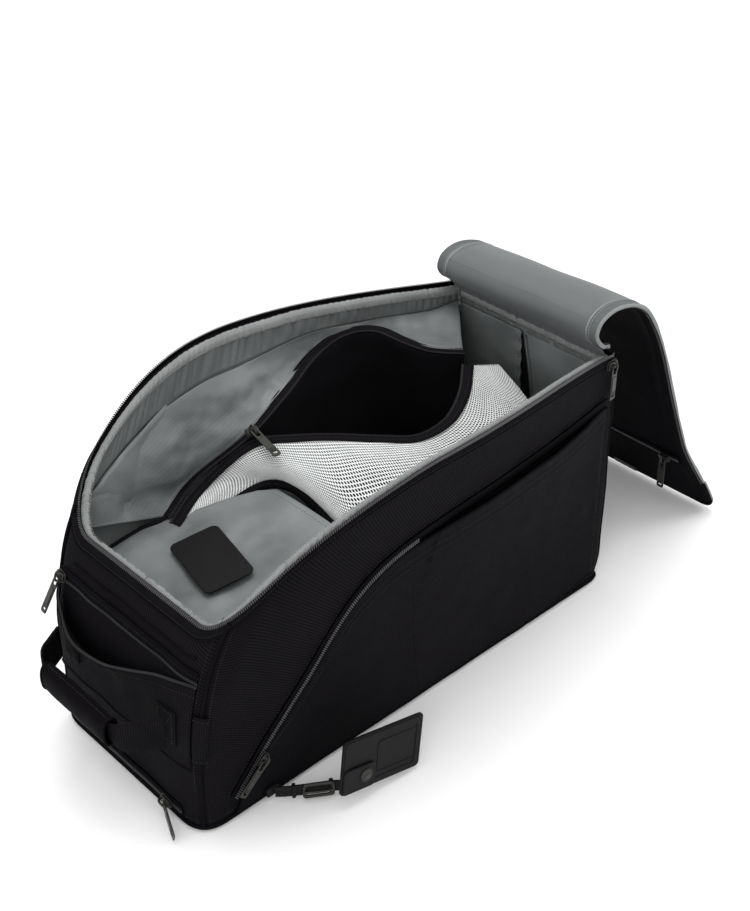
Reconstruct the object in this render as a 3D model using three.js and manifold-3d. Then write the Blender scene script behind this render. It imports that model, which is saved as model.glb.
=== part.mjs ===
// A soft golf bag for shoes: a zipped duffel whose long lid is unzipped and laid back over
// one end. Millimetres, +Z up. The origin is the centre of the base's underside, +X runs
// to the end that the lid hinges on, and -Y is the side with the large outside pocket.
import * as THREE from 'three';
import { mergeVertices } from 'three/addons/utils/BufferGeometryUtils.js';
import Module from 'manifold-3d';

const wasm = await Module();
wasm.setup();

// Driving dimensions.
const LENGTH = 560; // base, along X
const WIDTH = 224; // base, along Y
const DOME_HEIGHT = 321; // highest point of the rim
const DOME_X = -30; // where the rim is highest
const LID_END_DROP = 33; // how far the rim falls from there to the lid's hinge
const SHOULDER_HEIGHT = 106; // the handle end is upright to here, then curves in
const RIM_LEFT = -246; // the rim at the handle end
const RIM_RIGHT = 266; // the rim at the lid's hinge
const BULGE = 45; // how far the open rim spreads on each side
const BASE_CORNER = 28;
const RIM_CORNER_LEFT = 55;
const RIM_CORNER_RIGHT = 14;
const WALL = 4; // padded wall
const BASE_THICK = 4;
const GAP = 0.4; // clearance between neighbouring pieces
const SKIN = 1.3; // clearance between a wall and a skin laid over it
const LINING = 1.8;
const TAPE_HEIGHT = 9; // zip tape round the rim
const FACING_HEIGHT = 30; // gathered facing inside the rim
const LID_THICK = 6;
const LID_WIDTH = 222;
const PULL_LENGTH = 40;

const V = (x, y, z) => new THREE.Vector3(x, y, z);
const clamp01 = (value) => Math.min(1, Math.max(0, value));
const mix = (a, b, w) => a + (b - a) * w;
const smooth = (value) => {
  const w = clamp01(value);
  return w * w * (3 - 2 * w);
};

// ---------------------------------------------------------------- materials
const MATERIALS = {
  twill: { color: 0x17171a, roughness: 0.85, metalness: 0 },
  pocket: { color: 0x101013, roughness: 0.7, metalness: 0 },
  webbing: { color: 0x141416, roughness: 0.8, metalness: 0 },
  satin: { color: 0x7d8280, roughness: 0.5, metalness: 0 },
  facing: { color: 0x9a9d9b, roughness: 0.7, metalness: 0 },
  mesh: { color: 0xd6d8d6, roughness: 0.8, metalness: 0 },
  black: { color: 0x0b0b0d, roughness: 0.9, metalness: 0 },
  tape: { color: 0x1c1c1f, roughness: 0.6, metalness: 0 },
  leather: { color: 0x18181a, roughness: 0.55, metalness: 0 },
  gunmetal: { color: 0x4a4c4e, roughness: 0.35, metalness: 0.9 },
};

const bag = new THREE.Group();

function addMesh(name, geometry, look, parent = bag) {
  const mesh = new THREE.Mesh(geometry, new THREE.MeshStandardMaterial(MATERIALS[look]));
  mesh.name = name;
  parent.add(mesh);
  return mesh;
}

// ---------------------------------------------------------------- solids from surfaces
// A closed solid between two surface functions of (u, v), each 0 to 1. A ring joins its
// last column to its first.
function shell(front, back, columns, rows, ring = false) {
  const across = ring ? columns : columns + 1;
  const positions = [];
  for (const surface of [front, back]) {
    for (let j = 0; j <= rows; j += 1) {
      for (let i = 0; i < across; i += 1) {
        positions.push(...surface(i / columns, j / rows).toArray());
      }
    }
  }
  const layer = across * (rows + 1);
  const at = (side, i, j) => side * layer + j * across + (i % across);
  const faces = [];
  const quad = (a, b, c, d) => faces.push(a, b, c, a, c, d);
  for (let j = 0; j < rows; j += 1) {
    for (let i = 0; i < columns; i += 1) {
      quad(at(0, i, j), at(0, i + 1, j), at(0, i + 1, j + 1), at(0, i, j + 1));
      quad(at(1, i, j + 1), at(1, i + 1, j + 1), at(1, i + 1, j), at(1, i, j));
    }
  }
  for (let i = 0; i < columns; i += 1) {
    quad(at(1, i, 0), at(1, i + 1, 0), at(0, i + 1, 0), at(0, i, 0));
    quad(at(0, i, rows), at(0, i + 1, rows), at(1, i + 1, rows), at(1, i, rows));
  }
  if (!ring) {
    for (let j = 0; j < rows; j += 1) {
      quad(at(0, 0, j), at(0, 0, j + 1), at(1, 0, j + 1), at(1, 0, j));
      quad(at(1, columns, j), at(1, columns, j + 1), at(0, columns, j + 1), at(0, columns, j));
    }
  }
  return facingOut(positions, faces);
}

// The geometry with its faces pointing out, whichever way the surfaces were walked.
function facingOut(positions, faces) {
  let volume = 0;
  const corner = (index) => new THREE.Vector3().fromArray(positions, index * 3);
  for (let f = 0; f < faces.length; f += 3) {
    volume += corner(faces[f]).dot(corner(faces[f + 1]).cross(corner(faces[f + 2])));
  }
  const geometry = new THREE.BufferGeometry();
  geometry.setAttribute('position', new THREE.Float32BufferAttribute(positions, 3));
  geometry.setIndex(volume < 0 ? faces.slice().reverse() : faces);
  geometry.computeVertexNormals();
  return geometry;
}

// A sheet of even thickness on a surface function, centred on it or moved off it.
function sheet(surface, columns, rows, thickness, lift = 0) {
  const step = 0.002;
  const offset = (distance) => (u, v) => {
    const du = surface(Math.min(1, u + step), v).sub(surface(Math.max(0, u - step), v));
    const dv = surface(u, Math.min(1, v + step)).sub(surface(u, Math.max(0, v - step)));
    return surface(u, v).addScaledVector(du.cross(dv).normalize(), distance);
  };
  return shell(offset(lift + thickness / 2), offset(lift - thickness / 2), columns, rows);
}

// A smooth curve through points, read by a fraction of its length.
function track(points) {
  const curve = new THREE.CatmullRomCurve3(points, false, 'centripetal');
  return (u) => curve.getPointAt(clamp01(u));
}

function toManifold(geometry) {
  const bare = geometry.clone();
  bare.deleteAttribute('normal');
  bare.deleteAttribute('uv');
  const merged = mergeVertices(bare, 1e-4);
  return new wasm.Manifold(new wasm.Mesh({
    numProp: 3,
    vertProperties: new Float32Array(merged.attributes.position.array),
    triVerts: new Uint32Array(merged.index.array),
  }));
}

function fromManifold(solid) {
  const mesh = solid.getMesh();
  const geometry = new THREE.BufferGeometry();
  geometry.setAttribute('position', new THREE.BufferAttribute(mesh.vertProperties, 3));
  geometry.setIndex(new THREE.BufferAttribute(mesh.triVerts, 1));
  geometry.computeVertexNormals();
  return geometry;
}

// A rounded rectangle centred on the origin.
function roundedRect(width, height, radius, path = new THREE.Shape()) {
  const x = width / 2;
  const y = height / 2;
  path.moveTo(-x + radius, -y);
  path.lineTo(x - radius, -y);
  path.absarc(x - radius, -y + radius, radius, -Math.PI / 2, 0, false);
  path.absarc(x - radius, y - radius, radius, 0, Math.PI / 2, false);
  path.absarc(-x + radius, y - radius, radius, Math.PI / 2, Math.PI, false);
  path.absarc(-x + radius, -y + radius, radius, Math.PI, 1.5 * Math.PI, false);
  return path;
}

function plate(shape, thickness, curveSegments = 4) {
  return new THREE.ExtrudeGeometry(shape, { depth: thickness, bevelEnabled: false, curveSegments });
}

// ---------------------------------------------------------------- the body's shape
// Height of the rim above the floor.
function rimHeight(x) {
  if (x < DOME_X) {
    const span = DOME_X + LENGTH / 2;
    const along = clamp01((DOME_X - x) / span);
    return SHOULDER_HEIGHT + (DOME_HEIGHT - SHOULDER_HEIGHT) * Math.sqrt(1 - along * along);
  }
  return DOME_HEIGHT - LID_END_DROP * Math.pow((x - DOME_X) / (RIM_RIGHT - DOME_X), 1.6);
}

// How far the open rim spreads outside the base's side.
function rimBulge(x) {
  const along = (x + LENGTH / 2) / LENGTH;
  if (along < 0.42) {
    return BULGE * Math.sin((Math.PI / 2) * clamp01((along - 0.03) / 0.37));
  }
  return BULGE * Math.pow(Math.cos((Math.PI / 2) * clamp01((along - 0.42) / 0.53)), 1.2);
}

// One quarter of a plan outline, for the front half: the side and its two corners. The
// walk runs from the middle of the handle end to the middle of the lid end.
function frontOutline(left, right, cornerLeft, cornerRight, spread) {
  const sideY = (x) => -WIDTH / 2 - spread(x);
  const startX = left + cornerLeft;
  const endX = right - cornerRight;
  const leftY = sideY(startX) + cornerLeft;
  const rightY = sideY(endX) + cornerRight;
  const bend = (a, corner, b, w) => {
    const p = mix(a, corner, w);
    return mix(p, mix(corner, b, w), w);
  };
  return (s) => {
    if (s < 1) {
      return [left, mix(0, leftY, s)];
    }
    if (s < 2) {
      const w = s - 1;
      const slope = (sideY(startX + 1) - sideY(startX)) * cornerLeft;
      return [bend(left, left, startX, w), bend(leftY, sideY(startX) - slope, sideY(startX), w)];
    }
    if (s < 3) {
      const x = mix(startX, endX, s - 2);
      return [x, sideY(x)];
    }
    if (s < 4) {
      const w = s - 3;
      return [bend(endX, right, right, w), bend(sideY(endX), sideY(endX), rightY, w)];
    }
    return [right, mix(rightY, 0, s - 4)];
  };
}

const baseOutline = frontOutline(-LENGTH / 2, LENGTH / 2, BASE_CORNER, BASE_CORNER, () => 0);
const rimOutline = frontOutline(
  RIM_LEFT,
  RIM_RIGHT,
  RIM_CORNER_LEFT,
  RIM_CORNER_RIGHT,
  rimBulge,
);

// A plan outline moved outwards. s runs 0 to 5 along the front and on to 10 along the back.
function planPoint(outline, s, out) {
  const turn = ((s % 10) + 10) % 10;
  const back = turn > 5;
  const along = back ? 10 - turn : turn;
  const [x, y] = outline(along);
  const [x0, y0] = outline(Math.max(0, along - 0.01));
  const [x1, y1] = outline(Math.min(5, along + 0.01));
  const size = Math.hypot(x1 - x0, y1 - y0);
  const px = x + ((y1 - y0) / size) * out;
  const py = y - ((x1 - x0) / size) * out;
  return [px, back ? -py : py, x];
}

// A point of the wall: s round the bag, t from the floor to the rim, out from its face.
function wall(s, t, out = 0) {
  const [baseX, baseY] = planPoint(baseOutline, s, out);
  const [rimX, rimY, rimPlainX] = planPoint(rimOutline, s, out);
  const lean = rimX < 0 ? Math.pow(t, 4) : Math.pow(t, 1.5);
  const shift = mix(Math.pow(t, 4), lean, smooth((rimX + 60) / 120));
  return V(
    mix(baseX, rimX, shift),
    mix(baseY, rimY, Math.pow(t, 1.5)),
    t * rimHeight(rimPlainX),
  );
}

// The same, by height above the floor instead of by t.
function wallAtHeight(s, z, out = 0) {
  const [, , rimPlainX] = planPoint(rimOutline, s, 0);
  return wall(s, z / rimHeight(rimPlainX), out);
}

// The same, at a height below the rim.
function wallBelowRim(s, drop, out = 0) {
  const [, , rimPlainX] = planPoint(rimOutline, s, 0);
  return wall(s, 1 - drop / rimHeight(rimPlainX), out);
}

// The front side's s at a given x and height.
function frontS(x, z) {
  let low = 1;
  let high = 4.5;
  for (let i = 0; i < 40; i += 1) {
    const middle = (low + high) / 2;
    if (wallAtHeight(middle, z).x < x) {
      low = middle;
    } else {
      high = middle;
    }
  }
  return (low + high) / 2;
}

// ---------------------------------------------------------------- walls and linings
const SEAM_FRONT_LEFT = 1.5;
const SEAM_FRONT_RIGHT = 3.5;
const SEAM_BACK_RIGHT = 6.5;
const SEAM_BACK_LEFT = 8.5;
const SEAM_GAP = 0.012; // in s, about 0.5 mm at a corner
const SIDES = [
  { name: 'front_side', from: SEAM_FRONT_LEFT, to: SEAM_FRONT_RIGHT, columns: 16 },
  { name: 'lid_end', from: SEAM_FRONT_RIGHT, to: SEAM_BACK_RIGHT, columns: 12 },
  { name: 'back_side', from: SEAM_BACK_RIGHT, to: SEAM_BACK_LEFT, columns: 16 },
  { name: 'handle_end', from: SEAM_BACK_LEFT, to: SEAM_FRONT_LEFT + 10, columns: 16 },
];

const wallFoot = BASE_THICK + GAP;
const wallDrop = TAPE_HEIGHT + 2 * SKIN;
const liningOut = -WALL - SKIN;
const facingThick = 2.2;

function addSide({ name, from, to, columns }) {
  const topDrop = name === 'lid_end' ? 1 : wallDrop;
  const layer = (out, foot, drop) => (u, v) => {
    const s = mix(from + SEAM_GAP, to - SEAM_GAP, u);
    const low = wallAtHeight(s, foot, out);
    const high = wallBelowRim(s, drop, out);
    return wallAtHeight(s, mix(low.z, high.z, v), out);
  };
  const panel = shell(layer(0, wallFoot, topDrop), layer(-WALL, wallFoot, topDrop), columns, 7);
  addMesh(`${name}_panel`, panel, 'twill');
  const foot = wallFoot + LINING + GAP;
  const drop = FACING_HEIGHT + 2 * GAP + 2;
  const lining = shell(
    layer(liningOut, foot, drop),
    layer(liningOut - LINING, foot, drop),
    columns,
    7,
  );
  addMesh(`${name}_lining`, lining, 'satin');
}

SIDES.forEach(addSide);

const basePanel = plate(roundedRect(LENGTH, WIDTH, BASE_CORNER), BASE_THICK, 6);
addMesh('base_panel', basePanel, 'twill');

const floorInset = 2 * (WALL + GAP);
const floorLining = plate(
  roundedRect(LENGTH - floorInset, WIDTH - floorInset, BASE_CORNER - floorInset / 2),
  LINING,
  6,
);
addMesh('floor_lining', floorLining, 'black').position.z = wallFoot;

// The gathered facing runs all the way round inside the rim.
const facingLayer = (out) => (u, v) => wallBelowRim(u * 10, mix(FACING_HEIGHT, 2, v), out);
const rimFacing = shell(facingLayer(liningOut), facingLayer(liningOut - facingThick), 80, 1, true);
addMesh('rim_facing', rimFacing, 'facing');

// The zip tape stands on the walls round three sides of the opening.
const tapeFrom = SEAM_BACK_RIGHT + 0.05;
const tapeTo = SEAM_FRONT_RIGHT + 10 - 0.05;
function tapeLayer(out) {
  return (u, v) => wallBelowRim(mix(tapeFrom, tapeTo, u), mix(TAPE_HEIGHT, 0, v), out);
}
addMesh('main_zip_tape', shell(tapeLayer(-0.6), tapeLayer(-3.4), 56, 1), 'tape');

// ---------------------------------------------------------------- front pocket
const POCKET_FOOT = 7;
const POCKET_THICK = 2.2;
const POCKET_GAPE = 13; // how far the unzipped edge stands off the side
const POCKET_TAPE_WIDTH = 9;
const pocketEdge = track([
  V(-240, 0, 26),
  V(-206, 0, 68),
  V(-178, 0, 98),
  V(-145, 0, 138),
  V(-113, 0, 172),
  V(-80, 0, 190),
  V(-40, 0, 201),
  V(30, 0, 202),
  V(100, 0, 204),
  V(160, 0, 214),
  V(215, 0, 226),
  V(250, 0, 238),
]);

// The pocket's edge on the front side, moved up the side and off it.
function pocketEdgePoint(u, up, out) {
  const here = pocketEdge(u);
  const ahead = pocketEdge(Math.min(1, u + 0.01)).sub(pocketEdge(Math.max(0, u - 0.01)));
  const normal = V(-ahead.z, 0, ahead.x).normalize();
  here.addScaledVector(normal, up);
  return wallAtHeight(frontS(here.x, here.z), here.z, out);
}

const pocketGape = (u) => POCKET_GAPE * smooth((u - 0.42) / 0.25) * smooth((1 - u) / 0.16);

// The panel hangs from the edge to the foot of the side.
function pocketPanel(out) {
  return (u, v) => {
    const edge = pocketEdge(mix(0.03, 1, u));
    const z = mix(POCKET_FOOT, edge.z - GAP, v);
    const footX = mix(-244, 262, u);
    const x = mix(footX, edge.x, Math.pow(v, 0.8));
    const gape = pocketGape(mix(0.03, 1, u)) * Math.pow(v, 3);
    return wallAtHeight(frontS(x, z), z, out + gape);
  };
}

addMesh(
  'front_pocket_panel',
  shell(pocketPanel(SKIN + POCKET_THICK), pocketPanel(SKIN), 22, 8),
  'pocket',
);
const pocketTape = (out) => (u, v) => pocketEdgePoint(u, mix(0.5, POCKET_TAPE_WIDTH, v), out);
addMesh('front_pocket_zip_tape', shell(pocketTape(SKIN + 1.4), pocketTape(SKIN), 26, 1), 'tape');

// ---------------------------------------------------------------- handle end
const END_ZIP_HEIGHT = 173;
const END_POCKET_FOOT = 76;
const END_SAG = 42;
const END_GAPE = 26;
const END_HALF = 101; // half the pocket's width
const END_TAPE = 8;
const END_TAPE_DROP = 3; // how much of the tape's width is below the zip's line
const THIN_TAPE = 1.2;
const THIN_TAPE_SEAT = SKIN + 1.6; // where a slider sits on a thin tape

// The s of a point at y on the handle end, through s = 10 in its middle.
function endS(y) {
  let low = 8.1;
  let high = 11.9;
  for (let i = 0; i < 40; i += 1) {
    const middle = (low + high) / 2;
    if (wallAtHeight(middle, END_ZIP_HEIGHT).y > y) {
      low = middle;
    } else {
      high = middle;
    }
  }
  return (low + high) / 2;
}

// The lip is deepest past the middle, towards the far side.
function endOpen(u) {
  return Math.pow(Math.sin(Math.PI * Math.pow(clamp01(u), 0.8)), 1.3);
}

function endPocketPoint(u, z, out) {
  const s = endS(mix(END_HALF, -END_HALF, u));
  return wallAtHeight(s, z, out);
}

function endPocketPanel(out) {
  return (u, v) => {
    const top = END_ZIP_HEIGHT - 7 - END_SAG * endOpen(u);
    const z = mix(END_POCKET_FOOT, top, v);
    const stand = END_GAPE * endOpen(u) * Math.pow(v, 4);
    return endPocketPoint(u, z, out + stand);
  };
}

addMesh('end_pocket_panel', shell(endPocketPanel(SKIN + 2), endPocketPanel(SKIN), 16, 6), 'twill');
function endTape(out) {
  const low = END_ZIP_HEIGHT - END_TAPE_DROP;
  return (u, v) => endPocketPoint(u, low + END_TAPE * v, out);
}
addMesh(
  'end_pocket_zip_tape',
  shell(endTape(SKIN + THIN_TAPE), endTape(SKIN), 14, 1),
  'tape',
);

const BOTTOM_ZIP_HEIGHT = 14;
const BOTTOM_TAPE = 9;
const bottomTape = (out) => (u, v) => {
  const y = mix(96, -82, u);
  return wallAtHeight(endS(y), BOTTOM_ZIP_HEIGHT + (v - 0.5) * BOTTOM_TAPE, out);
};
addMesh(
  'bottom_zip_tape',
  shell(bottomTape(SKIN + THIN_TAPE), bottomTape(SKIN), 10, 1),
  'tape',
);

// ---------------------------------------------------------------- carry handle
const HANDLE_Z = 116;
const HANDLE_REACH = -322; // centre line of the grip, along X
const HANDLE_HALF = 70; // webbing leaves the end at this y on each side
const HANDLE_WEBBING = 38;
const HANDLE_PIVOT_X = -292.5;
const GRIP_HALF = 58;
const GRIP_HEIGHT = 30;
const GRIP_THICK = 17;
const WEB_THICK = 2.4;

// Sewn ends of the webbing, flat on the pocket.
for (const [name, side] of [['front', -1], ['back', 1]]) {
  const patch = plate(roundedRect(HANDLE_WEBBING, 26, 2), 2.2, 2);
  const mesh = addMesh(`handle_patch_${name}`, patch, 'webbing');
  mesh.rotation.set(0, -Math.PI / 2, 0);
  mesh.position.set(-LENGTH / 2 - SKIN - 6.2, side * (HANDLE_HALF + 14), HANDLE_Z);
}

// The webbing: two arms and a straight run through the grip. Its height tapers to the
// fold at each pivot.
function webbingOutline(u) {
  const rootX = HANDLE_PIVOT_X - 0.6;
  const arm = 24;
  const points = [
    V(rootX, -HANDLE_HALF - 4, 0),
    V(rootX - 12, -HANDLE_HALF - 2, 0),
    V(HANDLE_REACH + 7, -HANDLE_HALF + 3, 0),
    V(HANDLE_REACH, -HANDLE_HALF + 12, 0),
    V(HANDLE_REACH - 1, -arm, 0),
    V(HANDLE_REACH - 1, arm, 0),
    V(HANDLE_REACH, HANDLE_HALF - 12, 0),
    V(HANDLE_REACH + 7, HANDLE_HALF - 3, 0),
    V(rootX - 12, HANDLE_HALF + 2, 0),
    V(rootX, HANDLE_HALF + 4, 0),
  ];
  return track(points)(u);
}

function webbingSurface(u, v) {
  const p = webbingOutline(u);
  const fromRoot = Math.min(u, 1 - u);
  const wide = mix(12, HANDLE_WEBBING, smooth(fromRoot / 0.07));
  const narrow = mix(wide, GRIP_HEIGHT - 9, smooth((fromRoot - 0.17) / 0.05));
  return V(p.x, p.y, HANDLE_Z + (v - 0.5) * narrow);
}

addMesh('handle_webbing', sheet(webbingSurface, 40, 1, WEB_THICK), 'webbing');

const gripOuter = roundedRect(GRIP_THICK, GRIP_HEIGHT, 7);
gripOuter.holes.push(roundedRect(7, GRIP_HEIGHT - 7, 2, new THREE.Path()));
const grip = plate(gripOuter, 2 * (GRIP_HALF - 9), 5);
const gripMesh = addMesh('handle_grip', grip, 'webbing');
gripMesh.rotation.set(Math.PI / 2, 0, 0);
gripMesh.position.set(HANDLE_REACH - 1, GRIP_HALF - 9, HANDLE_Z);

// A short tab of webbing on the corner seam.
const tabLayer = (out) => (u, v) => wallAtHeight(mix(11.35, 11.62, u), mix(88, 140, v), out);
addMesh('seam_tab', shell(tabLayer(SKIN + 2.6), tabLayer(SKIN), 3, 3), 'webbing');

// ---------------------------------------------------------------- zip sliders
const BODY_THICK = 3.2;
const ARCH_TOP = 7.8;
const ARCH_INSIDE = 6.4;
const PIN_HEIGHT = 4.8; // the pull's hinge line above the slider's foot
const PULL_WIDTH = 9;
const PULL_THICK = 1.6;

function sliderSolid(alongPull) {
  const long = alongPull ? 15 : 10;
  const wide = alongPull ? 10 : 15;
  const body = plate(roundedRect(wide, long, 3), BODY_THICK, 2);
  const arch = new THREE.Shape();
  arch.moveTo(-5.2, BODY_THICK - 0.6);
  arch.lineTo(-5.2, ARCH_TOP - 1.6);
  arch.lineTo(-3.8, ARCH_TOP);
  arch.lineTo(3.8, ARCH_TOP);
  arch.lineTo(5.2, ARCH_TOP - 1.6);
  arch.lineTo(5.2, BODY_THICK - 0.6);
  arch.lineTo(3.6, BODY_THICK - 0.6);
  arch.lineTo(3.6, ARCH_INSIDE);
  arch.lineTo(-3.6, ARCH_INSIDE);
  arch.lineTo(-3.6, BODY_THICK - 0.6);
  const bridge = plate(arch, 2.4, 1);
  bridge.translate(0, 0, -1.2);
  bridge.rotateX(Math.PI / 2);
  bridge.rotateZ(Math.PI / 2);
  return fromManifold(toManifold(body).add(toManifold(bridge)));
}

function pullSolid() {
  const outline = roundedRect(PULL_WIDTH, PULL_LENGTH, 2);
  const eye = roundedRect(4.6, 8.4, 1, new THREE.Path());
  const eyeCentre = -PULL_LENGTH / 2 + 1.8 + 4.2;
  const moved = eye.getPoints(2).map((p) => new THREE.Vector2(p.x, p.y + eyeCentre));
  outline.holes.push(new THREE.Path(moved));
  const tip = roundedRect(4.6, 2.4, 1, new THREE.Path());
  const tipMoved = tip.getPoints(1).map((p) => new THREE.Vector2(p.x, p.y + PULL_LENGTH / 2 - 4));
  outline.holes.push(new THREE.Path(tipMoved));
  const solid = plate(outline, PULL_THICK, 2);
  solid.translate(0, PULL_LENGTH / 2 - 0.9, -PULL_THICK / 2);
  return solid;
}

const pullGeometry = pullSolid();

// A slider sits at a point of the tape. The pull's hinge line is square to hang, and lift
// turns the pull off the fabric.
function addSlider(name, point, normal, hang, alongPull, lift = 0) {
  const n = normal.clone().normalize();
  const y = hang.clone().addScaledVector(n, -hang.dot(n)).normalize();
  const x = y.clone().cross(n);
  const seat = new THREE.Group();
  seat.matrixAutoUpdate = false;
  seat.matrix.makeBasis(x, y, n).setPosition(point);
  seat.matrixWorldNeedsUpdate = true;
  addMesh(`${name}_slider`, sliderSolid(alongPull), 'gunmetal', seat);
  const pull = addMesh(`${name}_pull`, pullGeometry.clone(), 'gunmetal', seat);
  pull.position.set(0, 0, PIN_HEIGHT);
  pull.rotation.x = THREE.MathUtils.degToRad(lift);
  bag.add(seat);
  return { x, y, n };
}

// A wall's outward direction.
function wallNormal(s, z) {
  const along = wallAtHeight(s + 0.01, z).sub(wallAtHeight(s - 0.01, z));
  const up = wallAtHeight(s, z + 1).sub(wallAtHeight(s, z - 1));
  return along.cross(up).normalize();
}

const down = V(0, 0, -1);
const mainS = 3;
const mainZ = rimHeight(wallBelowRim(mainS, 5).x) - 9;
addSlider('main', wallAtHeight(mainS, mainZ, SKIN), wallNormal(mainS, mainZ), down, false);

const frontPocketSeat = 0.075;
const frontPoint = pocketEdgePoint(frontPocketSeat, 1, SKIN + 3);
const frontAhead = pocketEdgePoint(frontPocketSeat + 0.08, 1, SKIN + 3);
const frontNormal = wallNormal(frontS(frontPoint.x, frontPoint.z), frontPoint.z);
addSlider('front_pocket', frontPoint, frontNormal, frontPoint.clone().sub(frontAhead), true);

const endPoint = endPocketPoint(0.02, END_ZIP_HEIGHT, THIN_TAPE_SEAT + 0.8);
const endNormal = wallNormal(endS(END_HALF * 0.96), END_ZIP_HEIGHT);
addSlider('end_pocket', endPoint, endNormal, down, false, 12);

const bottomPoint = wallAtHeight(endS(-62), BOTTOM_ZIP_HEIGHT, THIN_TAPE_SEAT);
addSlider('bottom', bottomPoint, V(-1, 0, 0), V(0, -1, -0.22), true, 22);

// ---------------------------------------------------------------- shoe pouch
// The pouch is the whole lower chamber. Its cover is satin on the far side and mesh on the
// near side, and the zip between them runs slantwise, closed up to the slider.
const COVER = 1.6;
const POUCH_TAPE = 4.5;
const LIP_GAP = 1.8;
const farLip = track([
  V(-148, 103, 178),
  V(-107, 117, 192),
  V(-41, 104, 226),
  V(7, 107, 250),
  V(62, 124, 266),
  V(98, 124, 276),
  V(122, 116, 278),
  V(138, 101, 277),
  V(150, 76, 270),
  V(166, 56, 262),
  V(198, 38, 254),
]);
const nearLip = track([
  V(-146, 88, 175),
  V(-104, 102, 189),
  V(-44, 89, 222),
  V(-12, 68, 224),
  V(24, 46, 220),
  V(57, 20, 216),
  V(91, -7, 215),
  V(124, -16, 225),
  V(160, -2, 236),
  V(190, 22, 247),
]);
const meshFoot = track([
  V(-136, 82, 172),
  V(-112, 86, 179),
  V(-76, 84, 191),
  V(-38, 76, 200),
  V(-20, 50, 196),
  V(-16, 10, 186),
  V(-16, -60, 176),
  V(10, -112, 172),
  V(110, -112, 176),
  V(190, -96, 190),
  V(222, -40, 212),
  V(226, 12, 238),
]);
const SATIN_SEAM_DROP = 38;
const SATIN_SEAM_OUT = -WALL - 2 * SKIN - 3.5;
const satinSeam = (u) => wallBelowRim(mix(8.25, 6.85, u), SATIN_SEAM_DROP, SATIN_SEAM_OUT);

const satinCover = (u, v) => {
  const p = satinSeam(u).lerp(farLip(u), v);
  p.z -= 10 * Math.sin(Math.PI * v) * Math.sin(Math.PI * u);
  return p;
};
addMesh('pouch_satin_cover', sheet(satinCover, 18, 4, COVER), 'satin');

const meshCover = (u, v) => {
  const p = meshFoot(u).lerp(nearLip(u), v);
  p.z += 8 * Math.sin(Math.PI * v) * Math.sin(Math.PI * u);
  return p;
};
addMesh('pouch_mesh_cover', sheet(meshCover, 20, 4, COVER), 'mesh');

// A flat band beside a lip, on the mouth's side of it.
function lipBand(lip, side, near, far, sink) {
  return (u, v) => {
    const at = mix(0.02, 0.98, u);
    const ahead = lip(Math.min(1, at + 0.01)).sub(lip(Math.max(0, at - 0.01)));
    const across = V(ahead.y, -ahead.x, 0).normalize().multiplyScalar(side);
    const p = lip(at).addScaledVector(across, mix(near, far, v));
    p.z -= sink;
    return p;
  };
}

const farTape = lipBand(farLip, 1, LIP_GAP, LIP_GAP + POUCH_TAPE, 0);
addMesh('pouch_zip_far', sheet(farTape, 26, 1, 1.6), 'tape');
const nearTape = lipBand(nearLip, -1, LIP_GAP, LIP_GAP + POUCH_TAPE, 0);
addMesh('pouch_zip_near', sheet(nearTape, 22, 1, 1.6), 'tape');

// A black liner hangs from the far lip to the floor.
const LINER_FOOT = 12;
const farLinerTop = lipBand(farLip, 1, 3, 3, 7);
const farLiner = (u, v) => {
  const foot = V(mix(-140, 205, u), 94, LINER_FOOT);
  return foot.lerp(farLinerTop(mix(0.16, 1, u), 0), v);
};
addMesh('pouch_liner', sheet(farLiner, 12, 4, COVER), 'black');

// ---------------------------------------------------------------- accessory pocket
const ACCESSORY_FOOT = 60;
const bindingPath = [
  V(-134, 74, 164),
  V(-112, 74, 171),
  V(-78, 73, 181),
  V(-48, 66, 187),
  V(-34, 48, 186),
  V(-31, 20, 181),
  V(-36, -16, 175),
  V(-42, -60, 169),
  V(-46, -100, 165),
];
const bindingTrack = track(bindingPath);
const backPanel = (u, v) => {
  const top = bindingTrack(mix(0.04, 0.98, u));
  return V(top.x, top.y, mix(ACCESSORY_FOOT, top.z - 5.5, v));
};
addMesh('accessory_back_panel', sheet(backPanel, 14, 2, 1.4), 'satin');
const binding = (u, v) => {
  const p = bindingTrack(u);
  return V(p.x, p.y, p.z + mix(-4.5, 4.5, v));
};
addMesh('accessory_binding', sheet(binding, 18, 1, 3), 'black');

const PANEL_SLOPE = 0.32;
const PANEL_EDGE = V(-112, 0, 172);
const panelHeight = (x) => PANEL_EDGE.z + PANEL_SLOPE * (x - PANEL_EDGE.x);
const frontPanel = (u, v) => {
  const y = mix(-84, 62, u);
  const x = mix(-236, PANEL_EDGE.x + 0.16 * y, v);
  return V(x, y, panelHeight(x) - 10 * Math.pow(2 * v - 1, 2) * (v < 0.5 ? 1 : 0));
};
addMesh('accessory_front_panel', sheet(frontPanel, 8, 6, 1.4), 'satin');

const PATCH_LENGTH = 82;
const PATCH_WIDTH = 52;
const patchSolid = plate(roundedRect(PATCH_WIDTH, PATCH_LENGTH, 7), 1.6, 4);
const patchMesh = addMesh('leather_patch', patchSolid, 'leather');
patchMesh.position.set(-148, 26, panelHeight(-148) + 2.2);
patchMesh.rotation.set(0, -Math.atan(PANEL_SLOPE), 0);
patchMesh.rotateZ(-0.2);

// Slip pocket on the lid end's lining.
const slipLayer = (out) => (u, v) => {
  const low = wallAtHeight(mix(5.15, 6.05, u), 90, out);
  const high = wallBelowRim(mix(5.15, 6.05, u), FACING_HEIGHT + 16, out);
  return wallAtHeight(mix(5.15, 6.05, u), mix(low.z, high.z, v), out);
};
const slipOut = liningOut - LINING - SKIN;
addMesh('end_slip_pocket', shell(slipLayer(slipOut), slipLayer(slipOut - 1.4), 6, 3), 'satin');

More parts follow.
